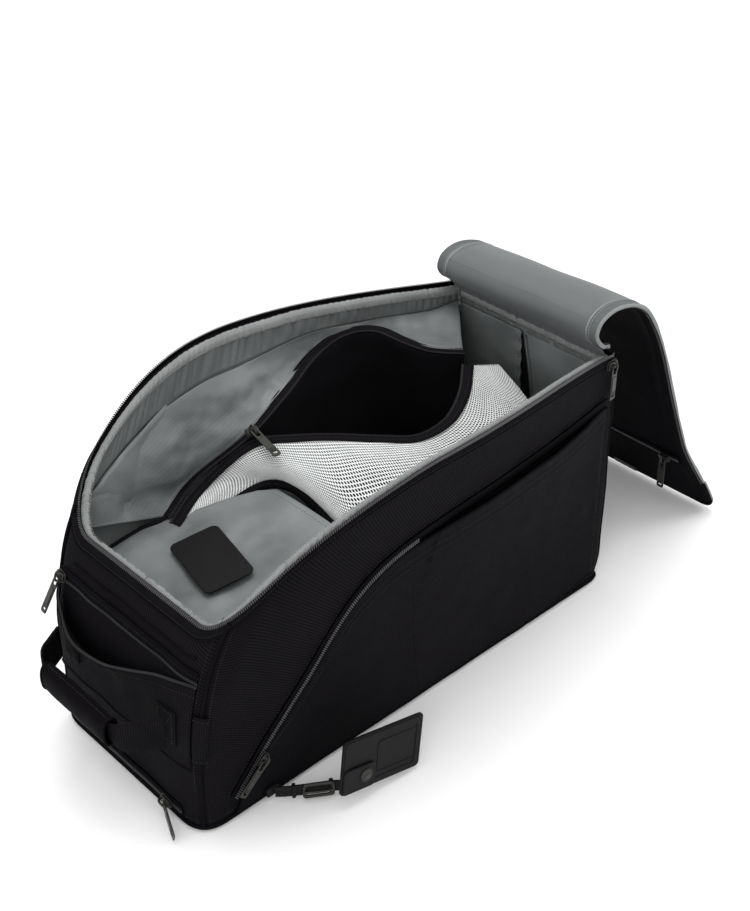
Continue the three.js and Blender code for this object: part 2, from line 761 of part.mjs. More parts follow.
// Pouch slider, at the end of the closed stretch.
const pouchPoint = V(-41, 96, 232);
addSlider('shoe_pouch', pouchPoint, V(0, -0.66, 0.75), V(0, -0.75, -0.66), false, 24);

// ---------------------------------------------------------------- lid
// The lid is a run of stiff strips hinged to each other. Directions are degrees from +X
// towards +Z, for the lid laid open.
const LID_HINGE = V(268, 0, 295);
const LID_STRIPS = [
  { length: 57, open: 144 },
  { length: 33, open: 47 },
  { length: 43, open: -15 },
  { length: 69, open: -50 },
  { length: 110, open: -66 },
  { length: 110, open: -66 },
  { length: 94, open: -64 },
];
const LID_TIP_CORNER = 24;

function stripOutline(length, startGap, endGap, last) {
  const shape = new THREE.Shape();
  const y = LID_WIDTH / 2;
  const end = length - endGap;
  const radius = last ? LID_TIP_CORNER : 0.5;
  shape.moveTo(startGap, -y);
  shape.lineTo(end - radius, -y);
  shape.absarc(end - radius, -y + radius, radius, -Math.PI / 2, 0, false);
  shape.absarc(end - radius, y - radius, radius, 0, Math.PI / 2, false);
  shape.lineTo(startGap, y);
  return shape;
}

function bendGap(before, after) {
  const bend = THREE.MathUtils.degToRad(Math.abs(before - after));
  return 0.8 + (LID_THICK / 2) * Math.tan(Math.min(bend, 1.9) / 2);
}

const lidFrames = [];
let corner = LID_HINGE.clone();
LID_STRIPS.forEach(({ length, open }, index) => {
  const angle = THREE.MathUtils.degToRad(open);
  const before = index > 0 ? LID_STRIPS[index - 1].open : open;
  const after = index + 1 < LID_STRIPS.length ? LID_STRIPS[index + 1].open : open;
  const last = index === LID_STRIPS.length - 1;
  const frame = new THREE.Group();
  frame.position.copy(corner);
  frame.rotation.y = -angle;
  const startGap = index === 0 ? 5 : Math.max(2, bendGap(before, open));
  const endGap = last ? 0 : Math.max(2, bendGap(open, after));
  const strip = plate(stripOutline(length, startGap, endGap, last), LID_THICK, 5);
  strip.translate(0, 0, -LID_THICK / 2);
  addMesh(`lid_strip_${index + 1}`, strip, 'twill', frame);
  bag.add(frame);
  lidFrames.push({ frame, angle });
  corner = corner.clone().add(V(Math.cos(angle), 0, Math.sin(angle)).multiplyScalar(length));
});

// On the lid's outer face, which looks back at the bag once the lid is open.
const lidTip = lidFrames[LID_STRIPS.length - 1];
const lidZipAlong = 10;
const lidUnder = -LID_THICK / 2 - GAP;
const lidTape = plate(roundedRect(9, 190, 2), 1.2, 1);
const lidTapeMesh = addMesh('lid_pocket_zip_tape', lidTape, 'tape', lidTip.frame);
lidTapeMesh.position.set(lidZipAlong, 0, lidUnder - 1.2);
const endPlateSolid = plate(roundedRect(7, 34, 2), 1.6, 2);
const endPlate = addMesh('lid_end_plate', endPlateSolid, 'gunmetal', lidTip.frame);
endPlate.position.set(84, 0, lidUnder - 1.6);

const lidDirection = V(Math.cos(lidTip.angle), 0, Math.sin(lidTip.angle));
const lidOutward = V(Math.sin(lidTip.angle), 0, -Math.cos(lidTip.angle));
const lidSliderPoint = lidTip.frame.position.clone()
  .addScaledVector(lidDirection, lidZipAlong)
  .addScaledVector(lidOutward, LID_THICK / 2 + GAP + 1.6)
  .add(V(0, -78, 0));
addSlider('lid_pocket', lidSliderPoint, lidOutward, down, false, 24);

// ---------------------------------------------------------------- luggage tag
// The tag stands on its long edge in front of the bag, held up by its strap.
const TAG_LENGTH = 92;
const TAG_WIDTH = 61;
const TAG_THICK = 3.6;
const TAG_CORNER = V(-167, -170, 16);
const TAG_ALONG = V(0.984, -0.108, -0.141);
const TAG_UP = V(0.148, 0.049, 0.988);
const STRAP_WIDTH = 12;
const STRAP_THICK = 2.2;
const STRAP_Z = 12;
const BUCKLE_LENGTH = 30;
const BUCKLE_WIDTH = 18;
const BUCKLE_THICK = 2.4;
const FLAP_LENGTH = 36;
const FLAP_WIDTH = 27;

const anchor = plate(roundedRect(14, 10, 2), 4, 2);
const anchorMesh = addMesh('tag_anchor', anchor, 'webbing');
anchorMesh.rotation.x = Math.PI / 2;
anchorMesh.position.set(-204, -WIDTH / 2 - SKIN - POCKET_THICK - 1, STRAP_Z);

const strapTrack = track([
  V(-203, -122, STRAP_Z),
  V(-196, -128, STRAP_Z),
  V(-183, -137, STRAP_Z),
  V(-158, -153, STRAP_Z),
  V(-154, -158, STRAP_Z + 1),
  V(-152, -163, STRAP_Z + 3),
]);
const strapSurface = (u, v) => strapTrack(u).add(V(0, 0, (v - 0.5) * STRAP_WIDTH));
addMesh('tag_strap', sheet(strapSurface, 16, 1, STRAP_THICK), 'leather');

const buckleAlong = V(25, -16, 0).normalize();
const buckleOut = V(-16, -25, 0).normalize();
const buckleFrame = new THREE.Group();
buckleFrame.matrixAutoUpdate = false;
buckleFrame.matrix.makeBasis(buckleAlong, buckleOut.clone().cross(buckleAlong), buckleOut);
buckleFrame.matrix.setPosition(
  V(-170.5, -145, STRAP_Z).addScaledVector(buckleOut, STRAP_THICK / 2 + GAP),
);
bag.add(buckleFrame);
const buckleOutline = roundedRect(BUCKLE_LENGTH, BUCKLE_WIDTH, 3);
buckleOutline.holes.push(roundedRect(BUCKLE_LENGTH - 6, BUCKLE_WIDTH - 6, 2, new THREE.Path()));
addMesh('tag_buckle', plate(buckleOutline, BUCKLE_THICK, 2), 'gunmetal', buckleFrame);
const prongSolid = plate(roundedRect(BUCKLE_LENGTH - 2, 2.4, 1), 1.6, 1);
const prong = addMesh('tag_prong', prongSolid, 'gunmetal', buckleFrame);
prong.position.set(0, 0, BUCKLE_THICK + GAP);

const tagFrame = new THREE.Group();
const tagUp = TAG_UP.clone().addScaledVector(TAG_ALONG, -TAG_UP.dot(TAG_ALONG)).normalize();
tagFrame.matrixAutoUpdate = false;
tagFrame.matrix.makeBasis(TAG_ALONG.clone().normalize(), tagUp, TAG_ALONG.clone().cross(tagUp));
tagFrame.matrix.setPosition(TAG_CORNER);
bag.add(tagFrame);
const tagBody = plate(roundedRect(TAG_LENGTH, TAG_WIDTH, 5), TAG_THICK, 3);
addMesh('tag_body', tagBody, 'leather', tagFrame).position.set(
  TAG_LENGTH / 2,
  TAG_WIDTH / 2,
  -TAG_THICK / 2,
);
const flapTop = TAG_THICK / 2 + GAP;
const flap = plate(roundedRect(FLAP_LENGTH, FLAP_WIDTH, 3), 1.6, 3);
addMesh('tag_flap', flap, 'leather', tagFrame).position.set(
  FLAP_LENGTH / 2 + 1,
  FLAP_WIDTH / 2 + 2,
  flapTop,
);
const snapSolid = new THREE.CylinderGeometry(6.3, 6.3, 1.6, 20);
const snap = addMesh('tag_snap', snapSolid, 'gunmetal', tagFrame);
snap.rotation.x = Math.PI / 2;
snap.position.set(27, 17, flapTop + 1.6 + GAP + 0.8);

export default bag;
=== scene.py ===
"""A soft golf bag for shoes, its long lid unzipped and laid back over one end.

The shapes are worked out in millimetres and become metres when a mesh is made.
"""

import math

import bpy
import numpy as np
from mathutils import Matrix, Vector, noise


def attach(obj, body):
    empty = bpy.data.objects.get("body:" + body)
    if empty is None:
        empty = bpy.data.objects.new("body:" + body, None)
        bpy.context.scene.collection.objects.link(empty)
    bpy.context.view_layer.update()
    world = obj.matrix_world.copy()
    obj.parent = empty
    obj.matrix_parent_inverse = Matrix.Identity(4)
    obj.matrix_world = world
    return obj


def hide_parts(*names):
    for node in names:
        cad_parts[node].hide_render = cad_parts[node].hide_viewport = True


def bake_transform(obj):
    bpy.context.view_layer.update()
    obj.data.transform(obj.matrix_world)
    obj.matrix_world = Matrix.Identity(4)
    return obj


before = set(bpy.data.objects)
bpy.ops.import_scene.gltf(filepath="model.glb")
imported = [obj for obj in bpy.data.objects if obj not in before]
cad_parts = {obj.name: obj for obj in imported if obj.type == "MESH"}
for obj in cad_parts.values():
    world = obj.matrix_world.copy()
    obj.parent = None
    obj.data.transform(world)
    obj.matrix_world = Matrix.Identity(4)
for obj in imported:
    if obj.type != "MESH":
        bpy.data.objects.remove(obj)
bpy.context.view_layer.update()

MM = 0.001
TAU = 2 * math.pi
UP = (0, 0, 1)
FRONT = (0, -1, 0)
LEFT = (-1, 0, 0)

# ------------------------------------------------------------------ the body's shape
LENGTH = 560.0
WIDTH = 224.0
DOME_HEIGHT = 321.0
DOME_X = -30.0
LID_END_DROP = 33.0
SHOULDER_HEIGHT = 106.0
RIM_LEFT = -246.0
RIM_RIGHT = 266.0
BULGE = 45.0
BASE_CORNER = 28.0
RIM_CORNER_LEFT = 55.0
RIM_CORNER_RIGHT = 14.0
DENT = 1.6  # how far the slack cloth wanders from its plain shape
TUCK_IN = 20.0  # how far the lid end's lower corners turn in at the floor
TUCK_HEIGHT = 42.0  # where they stop turning in


def mix(a, b, w):
    return a + (b - a) * w


def smooth(value):
    w = np.clip(value, 0, 1)
    return w * w * (3 - 2 * w)


def arch(value):
    """Rises from 0 to 1 at the middle of the range, and falls to 0 again."""
    return np.sin(math.pi * value)


def rim_height(x):
    along = np.clip((DOME_X - x) / (DOME_X + LENGTH / 2), 0, 1)
    left = SHOULDER_HEIGHT + (DOME_HEIGHT - SHOULDER_HEIGHT) * np.sqrt(1 - along**2)
    ahead = np.clip((x - DOME_X) / (RIM_RIGHT - DOME_X), 0, None)
    return np.where(x < DOME_X, left, DOME_HEIGHT - LID_END_DROP * ahead**1.6)


def rim_bulge(x):
    along = (x + LENGTH / 2) / LENGTH
    rise = np.sin(math.pi / 2 * np.clip((along - 0.03) / 0.37, 0, 1))
    fall = np.cos(math.pi / 2 * np.clip((along - 0.42) / 0.53, 0, 1)) ** 1.2
    return BULGE * np.where(along < 0.42, rise, fall)


def bend(a, corner, b, w):
    return mix(mix(a, corner, w), mix(corner, b, w), w)


def outline(rim, s):
    """Plan of the front half, from the middle of the handle end to the middle of the lid end."""
    if rim:
        left, right, corner_left, corner_right = RIM_LEFT, RIM_RIGHT, RIM_CORNER_LEFT, RIM_CORNER_RIGHT
    else:
        left, right, corner_left, corner_right = -LENGTH / 2, LENGTH / 2, BASE_CORNER, BASE_CORNER

    def side(x):
        return -WIDTH / 2 - (rim_bulge(x) if rim else 0.0 * x)

    x0, x1 = left + corner_left, right - corner_right
    y0, y1 = float(side(x0)), float(side(x1))
    slope = float(side(x0 + 1) - side(x0)) * corner_left
    parts = [s < 1, s < 2, s < 3, s < 4]
    middle = mix(x0, x1, s - 2)
    x = np.select(
        parts,
        [left + 0 * s, bend(left, left, x0, s - 1), middle, bend(x1, right, right, s - 3)],
        right,
    )
    y = np.select(
        parts,
        [
            mix(0, y0 + corner_left, s),
            bend(y0 + corner_left, y0 - slope, y0, s - 1),
            side(middle),
            bend(y1, y1, y1 + corner_right, s - 3),
        ],
        mix(y1 + corner_right, 0, s - 4),
    )
    return x, y


def plan_point(rim, s, out):
    turn = np.mod(s, 10.0)
    back = turn > 5
    along = np.where(back, 10 - turn, turn)
    x, y = outline(rim, along)
    xa, ya = outline(rim, np.maximum(0, along - 0.01))
    xb, yb = outline(rim, np.minimum(5, along + 0.01))
    size = np.hypot(xb - xa, yb - ya)
    px = x + (yb - ya) / size * out
    py = y - (xb - xa) / size * out
    return px, np.where(back, -py, py), x


def slack(s, t):
    """A slow wander of the cloth, which fades out at the floor and at the rim."""
    fade = np.clip(4 * t * (1 - t), 0, 1)
    a = np.sin(5.3 * s + 6.1 * t) * np.cos(3.1 * s - 9.0 * t)
    b = np.sin(11.7 * s + 2.3) * np.sin(13.0 * t + 1.1)
    return DENT * fade * (0.7 * a + 0.3 * b)


def corner_tuck(s, z):
    """The lower corners of the lid end are rounded under."""
    near = np.mod(s, 10.0)
    near = np.minimum(np.abs(near - 4), np.abs(near - 6))
    return TUCK_IN * np.exp(-((near / 0.45) ** 2)) * (1 - np.clip(z / TUCK_HEIGHT, 0, 1)) ** 2


def wall(s, t, out=0.0):
    """A point of the wall: s round the bag, t from floor to rim, out from its face."""
    s, t, out = np.broadcast_arrays(
        np.asarray(s, float), np.clip(np.asarray(t, float), 0, 1.2), np.asarray(out, float)
    )
    out = out + slack(s, t) - corner_tuck(s, t * DOME_HEIGHT)
    base_x, base_y, _ = plan_point(False, s, out)
    rim_x, rim_y, plain = plan_point(True, s, out)
    lean = np.where(rim_x < 0, t**4, t**1.5)
    shift = mix(t**4, lean, smooth((rim_x + 60) / 120))
    return np.stack(
        [mix(base_x, rim_x, shift), mix(base_y, rim_y, t**1.5), t * rim_height(plain)], -1
    )


def plain_rim(s):
    return rim_height(plan_point(True, np.asarray(s, float), 0.0)[2])


def at_height(s, z, out=0.0):
    return wall(s, z / plain_rim(s), out)


def below_rim(s, drop, out=0.0):
    return wall(s, 1 - drop / plain_rim(s), out)


def solve(low, high, shape, too_low):
    """Bisects each element of an array between low and high."""
    lo, hi = np.full(shape, float(low)), np.full(shape, float(high))
    for _ in range(36):
        middle = (lo + hi) / 2
        up = too_low(middle)
        lo, hi = np.where(up, middle, lo), np.where(up, hi, middle)
    return (lo + hi) / 2


def front_s(x, z):
    x, z = np.broadcast_arrays(np.asarray(x, float), np.asarray(z, float))
    return solve(1, 4.5, x.shape, lambda s: at_height(s, z)[..., 0] < x)


END_ZIP_HEIGHT = 173.0


def end_s(y):
    y = np.asarray(y, float)
    return solve(8.1, 11.9, y.shape, lambda s: at_height(s, END_ZIP_HEIGHT)[..., 1] > y)


# ------------------------------------------------------------------ curves and meshes
def lengths(path):
    """The length of a path up to each of its points."""
    return np.concatenate([[0], np.cumsum(np.linalg.norm(np.diff(path, axis=0), axis=1))])


def spline(points, count=200):
    """A smooth curve through points, resampled evenly by length."""
    p = np.array(points, float)
    p = np.vstack([2 * p[0] - p[1], p, 2 * p[-1] - p[-2]])
    knots = np.concatenate([[0], np.cumsum(np.sqrt(np.linalg.norm(np.diff(p, axis=0), axis=1)))])
    found = []
    for i in range(1, len(p) - 2):
        t0, t1, t2, t3 = knots[i - 1 : i + 3]
        t = np.linspace(t1, t2, 40)[:, None]
        a1 = (t1 - t) / (t1 - t0) * p[i - 1] + (t - t0) / (t1 - t0) * p[i]
        a2 = (t2 - t) / (t2 - t1) * p[i] + (t - t1) / (t2 - t1) * p[i + 1]
        a3 = (t3 - t) / (t3 - t2) * p[i + 1] + (t - t2) / (t3 - t2) * p[i + 2]
        b1 = (t2 - t) / (t2 - t0) * a1 + (t - t0) / (t2 - t0) * a2
        b2 = (t3 - t) / (t3 - t1) * a2 + (t - t1) / (t3 - t1) * a3
        found.append((t2 - t) / (t2 - t1) * b1 + (t - t1) / (t2 - t1) * b2)
    return resample(np.vstack(found), count)


def path_length(path):
    return float(lengths(path)[-1])


def resample(path, count):
    steps = lengths(path)
    at = np.linspace(0, steps[-1], count)
    return np.stack([np.interp(at, steps, path[:, k]) for k in range(3)], -1)


def read(path, u):
    """A point of an evenly spaced path, by a fraction of its length."""
    at = np.clip(np.asarray(u, float), 0, 1) * (len(path) - 1)
    index = np.arange(len(path))
    return np.stack([np.interp(at, index, path[:, k]) for k in range(3)], -1)


def along_line(path, x, z):
    """The fraction of a path's length at which it is nearest to (x, z)."""
    return np.hypot(path[:, 0] - x, path[:, 2] - z).argmin() / (len(path) - 1)


def unit(v):
    v = np.asarray(v, float)
    return v / np.maximum(np.linalg.norm(v, axis=-1, keepdims=True), 1e-9)


def tangents(path):
    return unit(np.gradient(path, axis=0))


def uv_grid(columns, rows):
    return cross_grid(np.linspace(0, 1, columns + 1), rows)


def cross_grid(across, rows):
    """across by rows + 1 values from 0 to 1, as two grids."""
    return np.meshgrid(across, np.linspace(0, 1, rows + 1), indexing="ij")


def mesh_from(name, verts, faces, uv=None):
    """faces is an array with one row for each face, all with as many corners."""
    mesh = bpy.data.meshes.new(name)
    verts = np.asarray(verts, float)
    faces = np.asarray(faces, int)
    mesh.vertices.add(len(verts))
    mesh.vertices.foreach_set("co", (verts * MM).astype(np.float32).ravel())
    mesh.loops.add(faces.size)
    mesh.loops.foreach_set("vertex_index", faces.astype(np.int32).ravel())
    mesh.polygons.add(len(faces))
    mesh.polygons.foreach_set(
        "loop_start", np.arange(0, faces.size, faces.shape[1], dtype=np.int32),
    )
    mesh.polygons.foreach_set("use_smooth", np.ones(len(faces), bool))
    if uv is not None:
        layer = mesh.uv_layers.new(name="cloth")
        layer.data.foreach_set("uv", (uv[faces.ravel()] * MM).astype(np.float32).ravel())
    mesh.update(calc_edges=True)
    mesh.validate()
    return mesh


def piece(name, mesh, material, slot=None, body="bag", stands_for=()):
    """One named piece with its material. The slot is not used."""
    obj = bpy.data.objects.new(name, mesh)
    bpy.context.scene.collection.objects.link(obj)
    mesh.materials.append(MATERIALS[material])
    if body:
        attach(obj, body)
    if stands_for:
        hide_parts(*stands_for)
    return obj


def thicken(obj, thick, offset):
    solid = obj.modifiers.new("thickness", "SOLIDIFY")
    solid.thickness = thick * MM
    solid.offset = offset
    solid.use_even_offset = False


def grid_faces(columns, rows, ring=False):
    across = columns if ring else columns + 1
    i, j = np.meshgrid(np.arange(columns), np.arange(rows), indexing="ij")
    after = (i + 1) % across
    step = rows + 1
    faces = np.stack([i * step + j, after * step + j, after * step + j + 1, i * step + j + 1], -1)
    return faces.reshape(-1, 4)


def cloth(name, points, material, thick=0.0, face=UP, ring=False, offset=-1.0, away=None, **more):
    """A sheet on a grid of points. Its outer side looks along face, or away from a point."""
    columns, rows = points.shape[0] - 1, points.shape[1] - 1
    normal = np.cross(np.gradient(points, axis=0), np.gradient(points, axis=1))
    toward = np.array(face, float) if away is None else points - np.array(away)
    along, up = lengths(points[:, rows // 2]), lengths(points[columns // 2])
    uv = np.stack(np.meshgrid(along, up, indexing="ij"), -1)
    if ring:
        points, uv = points[:-1], uv[:-1]
    faces = grid_faces(columns, rows, ring)
    if float((normal * toward).sum()) < 0:
        faces = faces[:, ::-1]
    mesh = mesh_from(name, points.reshape(-1, 3), faces, uv.reshape(-1, 2))
    obj = piece(name, mesh, material, **more)
    if thick:
        thicken(obj, thick, offset)
    return obj


def frames_along(path, normals):
    """Tangent, across and normal at each point of a path."""
    t = tangents(path)
    n = np.broadcast_to(np.asarray(normals, float), path.shape)
    n = unit(n - (n * t).sum(-1, keepdims=True) * t)
    return t, np.cross(n, t), n


def tube(name, path, radius, material="edge", sides=8, closed=False, flat=1.0, up=UP, **more):
    """A round or flattened cord along a path."""
    _, across, n = frames_along(path, up)
    turn = np.arange(sides) / sides * TAU
    width = np.broadcast_to(np.asarray(radius, float), (len(path),))[:, None, None]
    rings = (
        path[:, None]
        + width * np.cos(turn)[None, :, None] * across[:, None]
        + width * flat * np.sin(turn)[None, :, None] * n[:, None]
    )
    count = len(path)
    verts = rings.reshape(-1, 3)
    i, j = np.meshgrid(np.arange(count if closed else count - 1), np.arange(sides), indexing="ij")
    a, b = i * sides, ((i + 1) % count) * sides
    k = (j + 1) % sides
    faces = np.stack([a + j, b + j, b + k, a + k], -1).reshape(-1, 4)
    if not closed:
        ends = len(verts)
        verts = np.vstack([verts, path[0], path[-1]])
        q = np.arange(0, sides, 2)
        first = np.stack([np.full(len(q), ends), q, (q + 1) % sides, (q + 2) % sides], -1)
        last = np.stack([np.full(len(q), ends + 1), q + 2, q + 1, q], -1)
        base = (count - 1) * sides
        last[:, 1:] = base + last[:, 1:] % sides
        faces = np.vstack([faces, first[:, ::-1], last[:, ::-1]])
    return piece(name, mesh_from(name, verts, faces[:, ::-1]), material, **more)


def prism(sides=6):
    """A unit rod along X with tapered ends: corners and faces."""
    turn = np.arange(sides) / sides * TAU
    rings = []
    for x, r in ((-0.5, 0.55), (-0.38, 1.0), (0.38, 1.0), (0.5, 0.55)):
        rings.append(np.stack([np.full(sides, x), r * np.cos(turn), r * np.sin(turn)], -1))
    verts = np.vstack(rings)
    faces = []
    for ring in range(3):
        for j in range(sides):
            k = (j + 1) % sides
            faces.append([
                ring * sides + j, (ring + 1) * sides + j, (ring + 1) * sides + k, ring * sides + k,
            ])
    for base, step in ((0, 1), (3 * sides, -1)):
        for j in range(0, sides - 2, 2):
            faces.append([base, base + j + 1, base + j + 2, base + (j + 3) % sides][::step])
    return verts, np.array(faces)


ROD = prism()
STITCH_UP = (0.31, 0.22, 0.93)  # along no seam of the bag
TOOTH_SLANT = 0.3


def rods(name, origins, x, y, z, size, material, **more):
    """Copies of ROD, one at each origin, joined in one mesh."""
    verts, faces = ROD
    scaled = verts * np.asarray(size, float)
    made = origins[:, None] + sum(scaled[None, :, k : k + 1] * axis[:, None] for k, axis in enumerate((
        x, y, z,
    )))
    shift = np.arange(len(origins))[:, None, None] * len(verts)
    every = (faces[None] + shift).reshape(-1, faces.shape[1])
    return piece(name, mesh_from(name, made.reshape(-1, 3), every), material, **more)


def stitches(name, path, material="thread", pitch=3.4, length=2.3, radius=0.32, **more):
    """A row of short threads, which lie on a path that isn't upright."""
    at = resample(path, max(3, int(path_length(path) / pitch)))
    t, across, n = frames_along(at, STITCH_UP)
    return rods(name, at, t, across, n, (length, radius, radius * 0.8), material, **more)


def teeth(name, path, normals, material="teeth", pitch=1.75, length=4.6, radius=0.62, **more):
    """The coil of a zip: rods laid across a path."""
    count = max(4, int(path_length(path) / pitch))
    n_path = np.broadcast_to(np.asarray(normals, float), path.shape)
    index = np.linspace(0, len(path) - 1, count)
    n_at = np.stack([np.interp(index, np.arange(len(path)), n_path[:, k]) for k in range(3)], -1)
    at = resample(path, count)
    t, across, n = frames_along(at, n_at)
    lie = unit(across + TOOTH_SLANT * t)
    return rods(name, at, lie, np.cross(n, lie), n, (length, radius, radius), material, **more)


def rounded(width, height, radius, cx=0.0, cy=0.0):
    """A rectangle with rounded corners."""
    x, y = width / 2 - radius, height / 2 - radius
    points = []
    for sx, sy, start in ((1, 1, 0), (-1, 1, 90), (-1, -1, 180), (1, -1, 270)):
        for k in range(ROUND_STEPS + 1):
            a = math.radians(start + 90 * k / ROUND_STEPS)
            points.append((cx + sx * x + radius * math.cos(a), cy + sy * y + radius * math.sin(a)))
    return points


ROUND_STEPS = 6  # to each rounded corner of an outline


def basis(x, y, z, origin):
    """A matrix from local millimetres to row millimetres."""
    m = Matrix.Identity(4)
    for row in range(3):
        m[row][0], m[row][1], m[row][2], m[row][3] = x[row], y[row], z[row], origin[row]
    return m


def plate(name, outlines, thick, edge, place, material="metal", low=0.0, **more):
    """A flat plate with rounded edges and holes, from low to low + thick along local Z."""
    curve = bpy.data.curves.new(name, "CURVE")
    curve.dimensions = "2D"
    curve.fill_mode = "BOTH"
    for points in outlines:
        line = curve.splines.new("POLY")
        line.points.add(len(points) - 1)
        for p, (x, y) in zip(line.points, points):
            p.co = (x * MM, y * MM, 0, 1)
        line.use_cyclic_u = True
    curve.extrude = (thick / 2 - edge) * MM
    curve.bevel_depth = edge * MM
    curve.bevel_resolution = 2
    curve.offset = -edge * MM
    source = bpy.data.objects.new(name + "_outline", curve)
    bpy.context.scene.collection.objects.link(source)
    bpy.context.view_layer.update()
    ready = source.evaluated_get(bpy.context.evaluated_depsgraph_get())
    mesh = bpy.data.meshes.new_from_object(ready)
    bpy.data.objects.remove(source)
    bpy.data.curves.remove(curve)
    mesh.name = name
    mesh.materials.clear()
    move = place.copy()
    move.translation *= MM
    mesh.transform(Matrix.Translation((0, 0, (low + thick / 2) * MM)))
    mesh.transform(move)
    mesh.shade_smooth()
    obj = piece(name, mesh, material, **more)
    obj.modifiers.new("edges", "EDGE_SPLIT").split_angle = math.radians(50)
    return obj


def local_path(place, points):
    return np.array([place @ Vector(p) for p in points], float)


def closed_line(place, outline_points, height, count):
    """An outline as a closed path, at a height over a place."""
    raised = [(x, y, height) for x, y in outline_points + outline_points[:1]]
    return resample(local_path(place, raised), count)


def waver(values, size, b, c):
    """Smooth noise along a line, whose features are about size millimetres."""
    return np.array([noise.noise(Vector((v / size, b, c))) for v in values])


def bumpy(points, size, height, seed=0.0):
    """Moves points by smooth noise, along their grid normal."""
    flat = points.reshape(-1, 3)
    wander = np.array([noise.noise(Vector(p / size) + Vector((seed, seed, seed))) for p in flat])
    n = unit(np.cross(np.gradient(points, axis=0), np.gradient(points, axis=1))).reshape(-1, 3)
    return (flat + height * wander[:, None] * n).reshape(points.shape)


# ------------------------------------------------------------------ materials
class Shader:
    """A material built from nodes, with short calls for the ones used here."""

    def __init__(self, name, colour, rough, metallic=0.0, sheen=0.0, specular=0.5):
        self.material = bpy.data.materials.new(name)
        self.material.use_nodes = True
        self.nodes = self.material.node_tree.nodes
        self.links = self.material.node_tree.links
        self.bsdf = self.nodes["Principled BSDF"]
        self.bsdf.inputs["Metallic"].default_value = metallic
        self.bsdf.inputs["Sheen Weight"].default_value = sheen
        self.bsdf.inputs["Specular IOR Level"].default_value = specular
        self.bsdf.inputs["Base Color"].default_value = (*colour, 1)
        self.bsdf.inputs["Roughness"].default_value = rough
        self.colour = colour

    def node(self, kind, **values):
        made = self.nodes.new(kind)
        for key, value in values.items():
            setattr(made, key, value)
        return made

    def link(self, source, target):
        if isinstance(source, bpy.types.NodeSocket):
            self.links.new(source, target)
        else:
            target.default_value = source

    def math(self, operation, *values):
        made = self.node("ShaderNodeMath", operation=operation)
        for value, socket in zip(values, made.inputs):
            self.link(value, socket)
        return made.outputs[0]

    def add(self, a, b):
        return self.math("ADD", a, b)

    def times(self, a, b):
        return self.math("MULTIPLY", a, b)

    def cloth_axes(self):
        """Metres along and across the cloth."""
        source = self.node("ShaderNodeUVMap", uv_map="cloth").outputs[0]
        split = self.node("ShaderNodeSeparateXYZ")
        self.link(source, split.inputs[0])
        return split.outputs[0], split.outputs[1]

    def wave(self, along, period):
        """A sine from 0 to 1 of the given period in millimetres."""
        turned = self.math("SINE", self.times(along, TAU / (period * MM)))
        return self.math("MULTIPLY_ADD", turned, 0.5, 0.5)

    def noise(self, size, detail=2.0, rough=0.5):
        """Object-space noise whose features are about size millimetres."""
        made = self.node("ShaderNodeTexNoise")
        self.link(self.node("ShaderNodeTexCoord").outputs["Object"], made.inputs["Vector"])
        made.inputs["Scale"].default_value = 1 / (size * MM)
        made.inputs["Detail"].default_value = detail
        made.inputs["Roughness"].default_value = rough
        return made.outputs["Fac"]

    def shade(self, factor, dark, light):
        """Base colour between two multiples of the plain colour."""
        ramp = self.node("ShaderNodeMix", data_type="RGBA")
        self.link(factor, ramp.inputs["Factor"])
        ramp.inputs[6].default_value = (*[c * dark for c in self.colour], 1)
        ramp.inputs[7].default_value = (*[c * light for c in self.colour], 1)
        self.links.new(ramp.outputs[2], self.bsdf.inputs["Base Color"])

    def roughen(self, factor, low, high):
        spread = self.node("ShaderNodeMapRange")
        self.link(factor, spread.inputs[0])
        spread.inputs[3].default_value = low
        spread.inputs[4].default_value = high
        self.links.new(spread.outputs[0], self.bsdf.inputs["Roughness"])

    def bump(self, height, depth, strength=1.0):
        made = self.node("ShaderNodeBump")
        made.inputs["Strength"].default_value = strength
        made.inputs["Distance"].default_value = depth * MM
        self.link(height, made.inputs["Height"])
        self.links.new(made.outputs[0], self.bsdf.inputs["Normal"])


MOTTLE = 60  # millimetres across a cloudy patch of the black cloth
BLACK_GLOSS = 0.014  # the black cloth's specular level, low because the studio is white


def woven(name, colour, rough, weave=1.0, diagonal=2.3, depth=0.12, light=1.9):
    """Cloth with a fine weave crossed by diagonal twill lines."""
    sh = Shader(name, colour, rough, specular=BLACK_GLOSS)
    x, y = sh.cloth_axes()
    lines = sh.wave(sh.add(x, y), diagonal)
    threads = sh.times(sh.wave(x, weave), sh.wave(sh.math("SUBTRACT", x, y), diagonal * 0.8))
    height = sh.add(lines, threads)
    cloudy = sh.add(sh.times(sh.noise(MOTTLE, 3), 0.25), 0.38)
    sh.shade(sh.times(height, cloudy), 0.5, light)
    sh.roughen(sh.noise(MOTTLE / 4), rough - 0.08, rough + 0.1)
    sh.bump(height, depth)
    return sh.material


def ribbed(name, colour, rough, period, depth, across=False, light=1.8):
    """Webbing or tape with ribs along or across it."""
    sh = Shader(name, colour, rough, specular=BLACK_GLOSS)
    x, y = sh.cloth_axes()
    ribs = sh.wave(y if across else x, period)
    fine = sh.wave(x if across else y, period * 0.45)
    height = sh.add(ribs, sh.times(fine, 0.35))
    sh.shade(sh.times(height, sh.noise(25)), 0.7, light)
    sh.roughen(sh.noise(12), rough - 0.06, rough + 0.1)
    sh.bump(height, depth)
    return sh.material


